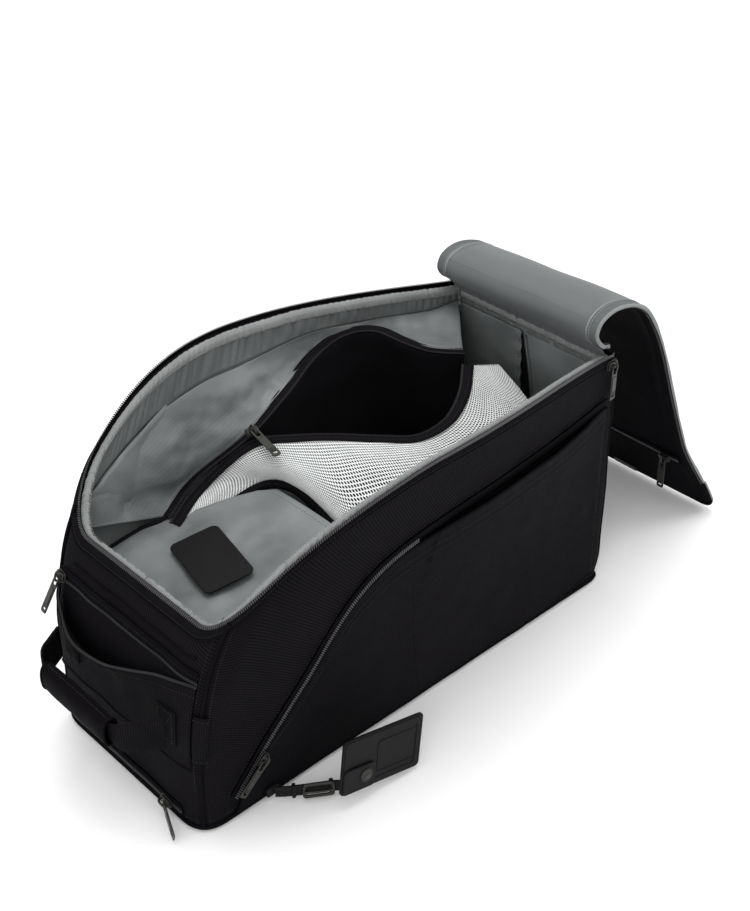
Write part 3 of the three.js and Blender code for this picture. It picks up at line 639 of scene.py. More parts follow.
def lining(name, colour, rough, grid=2.6, crumple=26, light=1.14, dark=0.9):
    """Thin coated lining: a faint grid, soft creases and a slight gloss, with wide blotches of painted
    reflection and painted shade in its colour.
    """
    sh = Shader(name, colour, rough, sheen=0.08, specular=0.4)
    x, y = sh.cloth_axes()
    net = sh.math("POWER", sh.math("MAXIMUM", sh.wave(x, grid), sh.wave(y, grid)), 6.0)
    creases = sh.math("ABSOLUTE", sh.math("SUBTRACT", sh.noise(crumple, 4, 0.6), 0.5))
    cloudy = sh.noise(90, 3)
    # painted reflection and painted shade: wide noise blotches make the colour lighter and darker,
    # standing for the satin's sheen and the shade of its folds
    painted_reflection_and_shade = sh.add(sh.times(cloudy, 2.0), -0.55)
    sh.shade(sh.add(sh.times(net, 0.2), painted_reflection_and_shade), dark, light)
    sh.roughen(cloudy, rough - 0.1, rough + 0.12)
    sh.bump(sh.add(sh.times(net, 0.1), sh.times(creases, 1.6)), 0.8, 0.6)
    return sh.material


def plain(name, colour, rough, size=1.2, depth=0.1, light=1.35, metallic=0.0, specular=0.5):
    """A solid with a fine grain and slight wear."""
    sh = Shader(name, colour, rough, metallic=metallic, specular=specular)
    grain = sh.noise(size, 3, 0.6)
    worn = sh.noise(14, 2)
    sh.shade(sh.times(sh.add(grain, worn), 0.5), 0.75, light)
    sh.roughen(worn, rough - 0.06, rough + 0.08)
    sh.bump(grain, depth, 0.5)
    return sh.material


def hide(name, colour, rough):
    """Leather: pebbled cells with fine creases between them."""
    sh = Shader(name, colour, rough, specular=0.13)
    cells = sh.node("ShaderNodeTexVoronoi", feature="DISTANCE_TO_EDGE")
    sh.link(sh.node("ShaderNodeTexCoord").outputs["Object"], cells.inputs["Vector"])
    cells.inputs["Scale"].default_value = 1 / (1.5 * MM)
    pebble = sh.math("POWER", cells.outputs["Distance"], 0.5)
    sh.shade(sh.times(pebble, sh.noise(10)), 0.8, 1.7)
    sh.roughen(sh.noise(9), rough - 0.08, rough + 0.08)
    sh.bump(pebble, 0.14, 0.7)
    return sh.material


BLACK = (0.0035, 0.0031, 0.0038)
MATERIALS = {
    "twill": woven("ballistic_twill", BLACK, 0.62, weave=3.0, diagonal=3.4, depth=0.3, light=4.4),
    "pocket": woven(
        "smooth_twill", (0.0052, 0.0046, 0.0056), 0.55, weave=2.2, diagonal=2.6, depth=0.08,
        light=2.0,
    ),
    "lid_black": woven(
        "lid_twill", (0.0040, 0.0033, 0.0044), 0.6, weave=2.0, diagonal=2.4, depth=0.06, light=1.7,
    ),
    "webbing": ribbed("ribbed_webbing", (0.0058, 0.0052, 0.0062), 0.6, 2.1, 0.35, light=2.2),
    "edge": ribbed("edge_binding", (0.0044, 0.0038, 0.0048), 0.6, 1.4, 0.15),
    "tape": ribbed("zip_tape", (0.0048, 0.0043, 0.0052), 0.65, 1.2, 0.12, across=True),
    # painted glint: this lighter coil colour stands for the light the zip teeth catch; dark_teeth is
    # the same coil without it
    "teeth": plain("coil_teeth_painted_glint", (0.034, 0.032, 0.036), 0.35, 0.8, 0.05, 1.6, specular=0.5),
    "dark_teeth": plain(
        "dark_coil_teeth", (0.014, 0.013, 0.015), 0.4, 0.8, 0.05, 1.6, specular=0.3,
    ),
    # The lining colours below run from painted shade (dark) to painted reflection (light) across wide
    # blotches.
    "satin": lining("grey_satin", (0.126, 0.136, 0.136), 0.38, light=1.5, dark=0.55),
    "lid_satin": lining(
        "lid_lining", (0.092, 0.100, 0.103), 0.55, grid=1.6, crumple=60, light=1.08, dark=0.94,
    ),
    "lid_band": ribbed("lid_band", (0.135, 0.143, 0.144), 0.55, 1.5, 0.3, light=1.3),
    "facing_top": ribbed("light_binding", (0.27, 0.281, 0.278), 0.55, 1.5, 0.3, light=1.25),
    "facing": lining(
        "facing_cloth", (0.092, 0.099, 0.099), 0.5, grid=1.8, crumple=18, light=1.3, dark=0.76,
    ),
    "piping": ribbed("grey_piping", (0.25, 0.262, 0.262), 0.5, 1.2, 0.15, light=1.3),
    "mesh": plain("white_mesh", (0.84, 0.86, 0.85), 0.6, 0.5, 0.06, 1.1),
    "inner": plain("black_lining", (0.0045, 0.0038, 0.0048), 0.8, 2.0, 0.06, 1.3, specular=0.08),
    "binding": plain("fold_binding", (0.0050, 0.0044, 0.0055), 0.7, 1.2, 0.12, 1.6, specular=0.03),
    "leather": hide("black_leather", (0.0048, 0.0043, 0.0052), 0.5),
    "strap": hide("strap_leather", (0.0056, 0.0052, 0.0060), 0.5),
    "metal": plain("gunmetal", (0.040, 0.042, 0.037), 0.34, 1.6, 0.04, 1.5, metallic=0.92),
    "thread": plain("black_thread", (0.012, 0.011, 0.013), 0.55, 0.4, 0.05, 1.3, specular=0.2),
    "pale_thread": plain("pale_thread", (0.36, 0.375, 0.37), 0.55, 0.4, 0.05, 1.1),
    "floor": Shader("paper_floor", (0.97, 0.97, 0.97), 0.9, specular=0.1).material,
}


# ------------------------------------------------------------------ walls
SIDES = {
    "front_side": (1.5, 3.5),
    "lid_end": (3.5, 6.5),
    "back_side": (6.5, 8.5),
    "handle_end": (8.5, 11.5),
}
CENTRE = (0, 0, 120)
WALL_THICK = 3.6


def even_s(start, end, count, drop=5.0):
    """Values of s spaced evenly along the rim."""
    s = np.linspace(start, end, 4 * count)
    steps = lengths(below_rim(s, drop))
    return np.interp(np.linspace(0, steps[-1], count), steps, s)


def outward(s, z):
    """The wall's outward direction."""
    along = at_height(s + 0.01, z) - at_height(s - 0.01, z)
    up = at_height(s, z + 1) - at_height(s, z - 1)
    return unit(np.cross(along, up))


def build_walls():
    for index, (name, (start, end)) in enumerate(SIDES.items()):
        u, v = uv_grid(96, 44)
        s = mix(start, end, u)
        drop = 1.0 if name == "lid_end" else 5.0
        z = mix(3.0, plain_rim(s) - drop, v)
        tuck = -1.6 * np.exp(-np.minimum(u, 1 - u) * 55)
        points = bumpy(at_height(s, z, tuck), 42, 0.9, index)
        shell = cloth(
            name + "_shell", points, "twill", WALL_THICK, away=CENTRE,
            stands_for=[name + "_panel"],
        )
        z = np.linspace(4, plain_rim(start) - 4, 160)
        welt = at_height(np.full(160, start), z, 0.9)
        tube(name + "_seam_welt", welt, 1.9, up=(1, 0.3, 0), slot="twill")
        for side, label in ((-1, "a"), (1, "b")):
            beside = at_height(start + side * 0.14, z, 0.15)
            stitches(f"{name}_seam_stitch_{label}", beside, slot="twill")


def build_base():
    u, v = uv_grid(200, 14)
    points = wall(10 * u, 0.0, -0.8) * (1 - v[..., None])
    points[..., 2] = 0.4 + 1.6 * smooth((1 - v) * 6 - 5)
    cloth("base_shell", points, "twill", 3.4, ring=True, face=(0, 0, -1), stands_for=["base_panel"])
    s = np.linspace(0, 10, 321)[:-1]
    tube("base_welt", wall(s, 0.016, 0.6), 2.1, closed=True, slot="twill")
    stitches("base_stitch", wall(s, 0.045, 0.3), slot="twill")


# ------------------------------------------------------------------ inside
def facing_height(s):
    """The gathered facing is tall at the handle end and short at the lid."""
    x = plan_point(True, np.asarray(s, float), 0.0)[0]
    tall = mix(47, 39, smooth((x + 180) / 150))
    side = mix(tall, 27, smooth((x + 20) / 110))
    return mix(side, 20, smooth((x - 215) / 40))


def build_linings():
    s = even_s(0, 10, 321)
    u, v = cross_grid(s, 30)
    z = mix(7.0, plain_rim(u) - facing_height(u) + 3, v)
    loose = (1 - smooth((plan_point(True, u, 0.0)[0] + 130) / 70))[..., None]
    held = bumpy(at_height(u, z, -7.0), 26, 1.2, 4.0)
    slumped = bumpy(bumpy(at_height(u, z, -11.5), 55, 6.0, 4.0), 17, 1.7, 2.0)
    points = mix(held, slumped, loose)
    points[-1] = points[0]
    cloth(
        "satin_walls", points, "satin", 0.8, ring=True, away=CENTRE,
        stands_for=[n + "_lining" for n in SIDES],
    )
    u, v = uv_grid(160, 12)
    points = wall(10 * u, 0.03, -6.5) * (1 - v[..., None])
    points[..., 2] = 5.2 + 0 * v
    cloth("black_floor", points, "inner", 1.2, ring=True, face=UP, stands_for=["floor_lining"])


def build_facing():
    count = 1400
    s = even_s(0, 10, count + 1)[:-1]
    along = np.linspace(0, path_length(below_rim(even_s(0, 10, 400), 5)), count + 1)[:-1]
    pucker = waver(along, 5.5, 0.3, 1.7)
    slow = waver(along, 45, 4.3, 0.7)
    turn = np.linspace(0, TAU, 13)[:-1]
    middle_out, middle_drop, half_wide, half_tall = -8.9, 8.2, 3.9, 5.6
    crumple = mix(0.22, 0.09, smooth((plan_point(True, s, 0.0)[2] + 225) / 90))
    ripple = 1 + crumple[:, None] * pucker[:, None] + 0.05 * np.sin(along / 1.1)[:, None]
    out = middle_out + half_wide * np.cos(turn)[None] * ripple
    drop = middle_drop - half_tall * np.sin(turn)[None] * ripple + 0.9 * slow[:, None]
    points = below_rim(s[:, None] + 0 * out, drop, out)
    points = np.concatenate([points, points[:, :1]], 1)
    points = np.concatenate([points, points[:1]], 0)
    ref = below_rim(s, middle_drop, middle_out)
    ref = np.concatenate([ref, ref[:1]])[:, None]
    cloth("rim_binding", points, "facing_top", ring=True, away=ref, stands_for=["rim_facing"])
    rows = np.linspace(0, 1, 9)
    height = facing_height(s)[:, None]
    drop = mix(11.5, height, rows[None])
    gather = 3.4 * pucker[:, None] * np.sin(math.pi * np.clip(rows * 0.85 + 0.15, 0, 1))[None]
    fold = 1.4 * slow[:, None] * arch(rows)[None]
    points = below_rim(s[:, None] + 0 * drop, drop, -9.6 + gather + fold)
    points = np.concatenate([points, points[:1]], 0)
    cloth("gathered_facing", points, "facing", 0.7, ring=True, away=CENTRE)
    edge = below_rim(s[::3], height[::3, 0] - 0.5, -9.2)
    tube("facing_seam", edge, 0.9, "facing_top", sides=6, closed=True)
    for label, at in (("far", 6.5), ("near", 3.5)):
        depth = np.linspace(4, 34, 80)
        gather = waver(depth, 3.4, 7.7, 1.1)
        path = below_rim(at + 0.012 * gather, depth, -13.2 + 1.6 * gather)
        tube(f"facing_corner_{label}", path, 2.2, "facing", sides=8)
    for label, depth, out in (("a", 5.0, -12.9), ("b", 10.5, -12.5)):
        path = below_rim(s[::2], depth, out)
        stitches(
            f"binding_stitch_{label}", path, "pale_thread", pitch=3.0, length=1.9, radius=0.22,
            slot="facing",
        )


TAPE_START, TAPE_END = 6.55, 13.45


def build_main_zip():
    s = even_s(TAPE_START, TAPE_END, 420)
    rows = np.linspace(0, 1, 7)
    drop = mix(11.0, 0.2, rows)[None]
    out = np.interp(rows, [0, 0.3, 0.75, 1], [0.9, 0.6, -0.6, -1.9])[None]
    points = below_rim(s[:, None] + 0 * drop, drop + 0 * s[:, None], out + 0 * s[:, None])
    cloth("main_tape", points, "tape", 1.1, away=CENTRE, stands_for=["main_zip_tape"])
    path = below_rim(s, 1.4, -0.9)
    normal = outward(s, plain_rim(s) - 12)
    teeth("main_teeth", path, normal, pitch=2.2, length=4.2, radius=0.75)
    stitches("main_tape_stitch", below_rim(s, 8.6, 1.0))
    tube("main_tape_edge", below_rim(s, 11.2, 0.9), 0.8, sides=6)


# ------------------------------------------------------------------ front pocket
POCKET_FOOT = 7.0
POCKET_GAPE = 7.0
LIP_COIL = 62  # points of the lip, of 131, that show their coil
TAPE_COIL = 120  # points of the tape, of 240, that show theirs
# The front pocket's top edge, over X and Z. It follows the photograph, above the CAD panel.
POCKET_EDGE = spline(
    [
        (-240, 0, 26), (-206, 0, 69), (-180, 0, 100), (-155, 0, 133), (-135, 0, 166),
        (-118, 0, 190),
        (-98, 0, 208), (-72, 0, 221), (-30, 0, 229), (23, 0, 232), (74, 0, 232), (153, 0, 231),
        (212, 0, 231), (250, 0, 233),
    ],
    400,
)


def pocket_edge(u, up, out):
    """A point of the pocket's edge, moved up the side and off it."""
    here = read(POCKET_EDGE, u)
    ahead = read(tangents(POCKET_EDGE), u)
    x = here[..., 0] - ahead[..., 2] * up
    z = here[..., 2] + ahead[..., 0] * up
    return at_height(front_s(x, z), z, out)


def pocket_gape(u):
    return POCKET_GAPE * smooth((u - 0.42) / 0.25) * smooth((1 - u) / 0.16)


def build_front_pocket():
    u, v = uv_grid(130, 46)
    along = mix(0.03, 1, u)
    edge = read(POCKET_EDGE, along)
    foot = POCKET_FOOT + 12 * smooth((u - 0.88) / 0.12)
    z = mix(foot, edge[..., 2] - 0.6, v)
    x = mix(mix(-244, 252, u), edge[..., 0], v**0.8)
    gape = pocket_gape(along) * v**3
    puff = 1.6 * np.sin(math.pi * np.clip(v, 0, 1)) * arch(u)
    points = at_height(front_s(x, z), z, 3.3 + gape + puff)
    points = bumpy(points, 38, 0.8, 9.0)
    cloth(
        "pocket_shell", points, "pocket", 1.9, face=(0, -1, 0.2),
        stands_for=["front_pocket_panel"],
    )
    lip = points[:, -1]
    tube("pocket_lip", lip, 1.5, up=FRONT, slot="pocket_cloth")
    inner = lip[:LIP_COIL] + [0, 1.2, 1.4]
    teeth("pocket_lip_teeth", inner, (0, -0.7, 0.7), length=3.4)
    for label, row in (("a", 43), ("b", 41)):
        path = points[:, row] + [0, -0.4, 0]
        stitches(f"pocket_lip_stitch_{label}", path, slot="pocket_cloth")
    tube("pocket_foot_welt", points[:, 0] + [0, 0.6, 0], 1.6, up=FRONT, slot="pocket_cloth")
    side = np.linspace(0, 1, 240)
    rows = np.linspace(0, 1, 5)
    uu, vv = np.meshgrid(side, rows, indexing="ij")
    tape = pocket_edge(uu, mix(-2.5, 9.5, vv), mix(1.5, 2.4, vv))
    cloth("pocket_tape", tape, "tape", 0.9, face=(0, -1, 0.2), stands_for=["front_pocket_zip_tape"])
    teeth(
        "pocket_tape_teeth", pocket_edge(side[:TAPE_COIL], 3.6, 3.4), (0, -1, 0.2), pitch=2.2,
        length=4.4, radius=0.75,
    )
    tube("pocket_tape_edge", pocket_edge(side, 9.8, 2.4), 1.1, up=FRONT)
    stitches("pocket_tape_stitch", pocket_edge(side, 12.5, 0.5))


# ------------------------------------------------------------------ handle end
END_POCKET_FOOT = 76.0
END_SAG = 29.0
END_GAPE = 19.0
END_HALF = 101.0


def end_open(u):
    return np.sin(math.pi * np.clip(u, 0, 1) ** 0.62) ** 1.5


def end_point(u, z, out):
    return at_height(end_s(mix(END_HALF, -END_HALF, u)), z, out)


def end_top(u):
    return END_ZIP_HEIGHT - 7 - END_SAG * end_open(u)


def end_shell(u, z, lift):
    """A point on the end pocket's face."""
    v = np.clip((z - END_POCKET_FOOT) / (end_top(u) - END_POCKET_FOOT), 0, 1)
    return end_point(u, z, 3.2 + END_GAPE * end_open(u) * v**4 + lift)


def end_across(y):
    return (END_HALF - np.asarray(y, float)) / (2 * END_HALF)


def build_end_pocket():
    u, v = uv_grid(110, 34)
    z = mix(END_POCKET_FOOT, end_top(u), v)
    points = end_shell(u, z, 0.0)
    points = bumpy(points, 34, 0.8, 3.0)
    cloth(
        "end_pocket_shell", points, "twill", 1.8, face=(-1, 0, 0.2),
        stands_for=["end_pocket_panel"],
    )
    lip = points[:, -1]
    tube("end_pocket_lip", lip, 1.2, up=LEFT)
    teeth("end_pocket_lip_teeth", lip + [0.6, 0, 1.3], (-0.6, 0, 0.8), "dark_teeth", length=3.2)
    stitches("end_pocket_lip_stitch", points[:, 31] + [-0.4, 0, 0], slot="twill")
    tube("end_pocket_foot_welt", points[:, 0] + [0.4, 0, 0], 1.5, up=LEFT, slot="twill")
    side = np.linspace(0, 1, 200)
    uu, vv = cross_grid(side, 4)
    tape = end_point(uu, END_ZIP_HEIGHT + mix(-4.0, 6.0, vv), mix(1.4, 2.3, vv))
    cloth(
        "end_pocket_tape", tape, "tape", 0.9, face=(-1, 0, 0.2),
        stands_for=["end_pocket_zip_tape"],
    )
    teeth(
        "end_pocket_tape_teeth", end_point(side, END_ZIP_HEIGHT - 2.6, 2.4), (-1, 0, 0.2),
        "dark_teeth", length=3.4,
    )
    tube("end_pocket_tape_edge", end_point(side, END_ZIP_HEIGHT + 6.4, 2.2), 1.3, up=LEFT)
    stitches("end_pocket_tape_stitch", end_point(side, END_ZIP_HEIGHT + 3.4, 2.4))
    rim_line = below_rim(even_s(8.9, 11.2, 200), 26.0, 0.9)
    tube("end_rim_welt", rim_line, 1.2, up=(-1, 0, 0.5), slot="twill")


BOTTOM_ZIP_HEIGHT = 14.0


def build_bottom_zip():
    y = np.linspace(96, -82, 200)
    s = end_s(y)
    uu, vv = cross_grid(s, 6)
    tape = at_height(uu, BOTTOM_ZIP_HEIGHT + (vv - 0.5) * 12, 2.2 - 0.8 * np.abs(vv - 0.5))
    cloth("bottom_tape", tape, "tape", 0.9, face=LEFT, stands_for=["bottom_zip_tape"])
    teeth(
        "bottom_teeth", at_height(s, BOTTOM_ZIP_HEIGHT, 2.6), (-1, 0, 0), "dark_teeth", length=5.4,
    )
    for label, off in (("low", -6.6), ("high", 6.6)):
        tube(f"bottom_tape_edge_{label}", at_height(s, BOTTOM_ZIP_HEIGHT + off, 1.9), 1.0, up=LEFT)
    stitches("bottom_stitch", at_height(s, BOTTOM_ZIP_HEIGHT + 9.0, 0.4))


# ------------------------------------------------------------------ carry handle
HANDLE_Z = 116.0
HANDLE_REACH = -322.0
HANDLE_HALF = 70.0
HANDLE_WEBBING = 38.0
PIVOT_X = -293.1
GRIP_HALF = 49.0


def build_handle():
    for name, side in (("front", -1), ("back", 1)):
        u, v = uv_grid(16, 20)
        edge = np.maximum(np.abs(2 * u - 1), np.abs(2 * v - 1)) ** 8
        y = side * mix(60, 86, u)
        points = end_shell(end_across(y), mix(HANDLE_Z - 18, HANDLE_Z + 18, v), 2.4 - 1.0 * edge)
        cloth(
            f"handle_end_{name}", points, "webbing", 2.0, face=LEFT,
            stands_for=[f"handle_patch_{name}"],
        )
        y = side * np.array([64, 82, 82, 64, 64, 82])
        z = HANDLE_Z + np.array([-16, -16, 16, 16, -16, 16])
        stitches(
            f"handle_end_stitch_{name}", resample(end_shell(end_across(y), z, 2.7), 60),
            slot="webbing",
        )
    arm = 24
    half, reach = HANDLE_HALF, HANDLE_REACH
    track = spline(
        [
            (PIVOT_X + 4, -half - 12, 0), (PIVOT_X - 12, -half - 3, 0), (reach + 7, -half + 3, 0),
            (reach, -half + 12, 0), (reach - 1, -arm, 0), (reach - 1, arm, 0),
            (reach, half - 12, 0),
            (reach + 7, half - 3, 0), (PIVOT_X - 12, half + 3, 0), (PIVOT_X + 4, half + 12, 0),
        ],
        160,
    )
    u = np.linspace(0, 1, 160)
    from_root = np.minimum(u, 1 - u)
    wide = mix(HANDLE_WEBBING - 2, 21, smooth((from_root - 0.16) / 0.09))
    rows = np.linspace(-0.5, 0.5, 9)
    points = track[:, None] + np.stack([0 * rows, 0 * rows, rows], -1)[None] * wide[:, None, None]
    points[..., 2] += HANDLE_Z
    points[..., 0] += 2.0 * np.abs(rows)[None] ** 2 * arch(u)[:, None]
    strap = cloth(
        "handle_strap", points, "webbing", 2.2, body=None, face=LEFT, offset=0,
        stands_for=["handle_webbing"],
    )
    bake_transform(strap)
    for label, column in (("front", 2), ("back", -3)):
        path = points[column] + [-1.4, 0, 0]
        stitches(
            f"handle_strap_stitch_{label}", path, body="handle", pitch=2.4, length=1.6,
            slot="webbing",
        )
    build_grip()


def build_grip():
    """A padded sleeve: crowned between its sewn edges, pinched at its two ends."""
    along = np.linspace(-1, 1, 81)
    turn = np.linspace(0, TAU, 33)
    swell = 1 + 0.06 * np.cos(along * math.pi / 2) - 0.10 * np.abs(along) ** 10
    cos, sin = np.cos(turn), np.sin(turn)
    half_x, half_z = 8.0, 14.6
    x = np.sign(cos) * np.abs(cos) ** 0.75 * half_x
    z = np.sign(sin) * np.abs(sin) ** 0.85 * half_z
    points = np.stack(
        [
            HANDLE_REACH - 1 + x[None] * swell[:, None],
            along[:, None] * GRIP_HALF + 0 * x[None],
            HANDLE_Z + z[None] * (0.9 + 0.1 * swell[:, None]),
        ],
        -1,
    )
    points = bumpy(points, 16, 0.5, 6.0)
    points[:, -1] = points[:, 0]
    grip = cloth(
        "grip_sleeve", points, "lid_black", 1.2, body="handle",
        away=(HANDLE_REACH - 1, 0, HANDLE_Z), stands_for=["handle_grip"],
    )
    for label, index, seam in (("top", 6, 8), ("foot", 26, 24)):
        path = points[:, index] + [-0.6, 0, 0]
        tube(f"grip_welt_{label}", path, 1.1, body="handle", sides=6, up=LEFT, slot="webbing")
        stitches(
            f"grip_stitch_{label}", points[:, seam] + [-0.5, 0, 0], body="handle", slot="webbing",
        )
    for label, index in (("front", 0), ("back", -1)):
        ring = points[index, :-1]
        tube(
            f"grip_end_{label}", ring, 1.3, body="handle", sides=6, closed=True, up=(0, 1, 0),
            slot="webbing",
        )


def build_seam_tab():
    u, v = uv_grid(10, 24)
    ease = 1.4 * np.abs(2 * u - 1) ** 6
    points = at_height(mix(11.35, 11.62, u), mix(88, 140, v), 4.0 - ease)
    cloth("corner_tab", points, "webbing", 2.2, face=(-1, -0.5, 0), stands_for=["seam_tab"])
    for label, z in (("low", 91), ("high", 137)):
        path = at_height(np.linspace(11.37, 11.6, 12), z, 4.2)
        stitches(f"corner_tab_stitch_{label}", path, pitch=2.6, slot="webbing")


# ------------------------------------------------------------------ shoe pouch
FAR_LIP = spline(
    [
        (-148, 103, 178), (-107, 117, 192), (-41, 104, 226), (7, 107, 250), (62, 124, 266),
        (98, 124, 276),
        (122, 116, 278), (138, 101, 277), (150, 76, 270), (166, 56, 262), (198, 38, 254),
    ],
    300,
)
NEAR_LIP = spline(
    [
        (-146, 88, 175), (-104, 102, 189), (-44, 89, 222), (-12, 68, 224), (24, 46, 220),
        (57, 20, 216),
        (91, -7, 215), (124, -16, 225), (160, -2, 236), (190, 22, 247),
    ],
    300,
)
MESH_FOOT = spline(
    [
        (-136, 79, 166), (-112, 79, 172), (-78, 78, 182), (-46, 71, 188), (-29, 50, 187),
        (-26, 20, 182),
        (-31, -16, 176), (-37, -60, 170), (-36, -100, 166), (20, -116, 168), (110, -116, 172),
        (190, -98, 188),
        (222, -40, 212), (226, 12, 238),
    ],
    300,
)
HOLE_PITCH = 3.3
HOLE_SHARE = 0.60  # of a cell that its hole takes, across


def satin_cover(u, v):
    seam = below_rim(mix(8.25, 6.85, u), facing_height(mix(8.25, 6.85, u)) + 1, -10.0)
    points = mix(seam, read(FAR_LIP, u), v[..., None])
    points[..., 2] -= 10 * arch(v) * arch(u)
    return points


def mesh_cover(u, v):
    points = mix(read(MESH_FOOT, u), read(NEAR_LIP, u), v[..., None])
    swell = arch(v) * arch(u)
    ripple = 1.2 * np.sin(21 * u + 5 * v) + 0.9 * np.sin(9 * u - 13 * v)
    points[..., 2] += (8 + ripple) * swell
    return points


def net(name, surface, length, width, material, thick, **more):
    """A cloth of six-sided cells with a round hole in each, laid on surface(u, v)."""
    columns = int(length / HOLE_PITCH)
    rows = int(width / (HOLE_PITCH * 0.866))
    i, j = np.meshgrid(np.arange(columns), np.arange(rows), indexing="ij")
    centre = np.stack(
        [(i + 0.5 + 0.5 * (j % 2)) / (columns + 0.5), (j + 0.5) / rows], -1,
    ).reshape(-1, 2)
    size = np.array([1 / (columns + 0.5), 1 / (rows * 0.866)])
    turn = TAU * (np.arange(6) / 6 + 1 / 12)
    outer = np.stack([np.cos(turn), np.sin(turn)], -1) * 0.5774
    inner = outer * HOLE_SHARE * 1.12
    rim = centre[:, None] + outer[None] * size
    hole = centre[:, None] + inner[None] * size
    count = len(centre)
    both = np.concatenate([rim.reshape(-1, 2), hole.reshape(-1, 2)])
    key = np.round(both * 1e5).astype(int)
    _, first, where = np.unique(key, axis=0, return_index=True, return_inverse=True)
    where = where.ravel()
    k = np.arange(6)
    base = np.arange(count)[:, None] * 6
    quads = np.stack(
        [base + k, base + (k + 1) % 6, 6 * count + base + (k + 1) % 6, 6 * count + base + k], -1,
    )
    faces = where[quads.reshape(-1, 4)]
    at = np.clip(both[first], 0, 1)
    verts = surface(at[:, 0], at[:, 1])
    thicken(piece(name, mesh_from(name, verts, faces), material, **more), thick, 0)


def lip_across(lip, side):
    """Level directions across a lip, towards the mouth."""
    along = tangents(lip)
    return unit(np.stack([along[:, 1], -along[:, 0], 0 * along[:, 0]], -1)) * side


def lip_band(lip, side, near, far, rows=9, crown=1.0, sink=0.0):
    v = np.linspace(0, 1, rows)
    points = lip[:, None] + lip_across(lip, side)[:, None] * mix(near, far, v)[None, :, None]
    points[..., 2] += crown * arch(v)[None] - sink
    return points


def build_pouch():
    u, v = uv_grid(150, 36)
    points = satin_cover(u, v)
    hold = (arch(v) ** 0.5 * np.sin(math.pi * np.clip(u, 0.02, 0.98)) ** 0.4)[..., None]
    points = mix(points, bumpy(bumpy(points, 38, 8.0, 5.0), 13, 2.2, 8.0), hold)
    cloth("pouch_satin", points, "satin", 0.9, face=(0, -0.5, 1), stands_for=["pouch_satin_cover"])
    hem = resample(points[6:-4, -3] + [0, 0, 0.8], 300)
    stitches("pouch_satin_stitch", hem, "pale_thread", pitch=3.0)
    net("pouch_net", mesh_cover, 560, 100, "mesh", 0.55, stands_for=["pouch_mesh_cover"])
    for lip, side, label in ((FAR_LIP, 1, "far"), (NEAR_LIP, -1, "near")):
        across = lip_across(lip, side)
        band = lip_band(lip, side, -4.5, 6.2)
        cloth(f"pouch_{label}_tape", band, "binding", 1.4, stands_for=[f"pouch_zip_{label}"])
        coil = lip + across * 6.0 + [0, 0, 0.5]
        teeth(f"pouch_{label}_teeth", coil, UP, "dark_teeth", length=3.0, radius=0.55)
        tube(f"pouch_{label}_edge", lip - across * 4.6, 1.0, "binding", sides=6)
        stitches(f"pouch_{label}_stitch", lip - across * 1.5 + [0, 0, 1.0])
    build_pouch_liner()


def build_pouch_liner():
    """The black inside: it hangs from the open mouth to the floor."""
    start = 60
    far = lip_band(FAR_LIP[start:], 1, 5.2, 5.2, rows=2, crown=0, sink=1.6)[:, 0]
    near = lip_band(NEAR_LIP[start:], -1, 5.2, 5.2, rows=2, crown=0, sink=1.6)[::-1, 0]
    turn = resample(np.vstack([far[-1], near[0]]), 14)[1:-1]
    loop = resample(np.vstack([far, turn, near[:60]]), 260)
    u = np.linspace(0, 1, 260)
    foot_x = np.interp(u, [0, 0.50, 0.62, 1.0], [-118, 200, 214, 214])
    foot_y = np.interp(u, [0, 0.50, 0.62, 1.0], [92, 92, 76, -60])
    foot = np.stack([foot_x, foot_y, np.full(260, 9.0)], -1)
    v = np.linspace(0, 1, 40)
    swell = arch(v)[None, :, None] * np.array([4.0, 9.0, 0])
    points = mix(loop[:, None], foot[:, None], v[None, :, None]) + swell * np.clip(
        0.6 - u, 0, 1,
    )[:, None, None]
    points = bumpy(points, 40, 3.0, 12.0)
    points[:, 0] = loop
    cloth("pouch_black_liner", points, "inner", 0.9, face=FRONT, stands_for=["pouch_liner"])


# ------------------------------------------------------------------ accessory pocket
BINDING_PATH = spline(
    [
        (-134, 74, 164), (-112, 74, 171), (-78, 73, 181), (-48, 66, 187), (-34, 48, 186),
        (-31, 20, 181), (-36, -16, 175), (-42, -60, 169), (-46, -100, 165),
    ],
    220,
)
PANEL_SLOPE = 0.14
PANEL_EDGE_X = -112.0
PANEL_EDGE_Z = 181.0


def panel_height(x):
    return PANEL_EDGE_Z + PANEL_SLOPE * (x - PANEL_EDGE_X)


def build_accessory():
    top = BINDING_PATH[8:-4:2]
    v = np.linspace(0, 1, 30)
    foot = top.copy()
    foot[:, 2] = 60
    points = mix(foot[:, None], (top - np.array([0, 0, 5]))[:, None], v[None, :, None])
    points = mix(bumpy(points, 30, 3.0, 14.0), points, smooth(4 * v - 3)[None, :, None])
    cloth(
        "accessory_back", points, "satin", 0.9, face=(-1, -0.6, 0),
        stands_for=["accessory_back_panel"],
    )
    tube(
        "accessory_edge", BINDING_PATH, 4.6, "binding", sides=12, flat=0.42, up=(-0.6, -0.5, 0.3),
        slot="black_lining", stands_for=["accessory_binding"],
    )
    stitches("accessory_edge_stitch", BINDING_PATH + [-1.5, -1.5, 1.6], slot="black_lining")
    build_front_flap()
    build_patch()


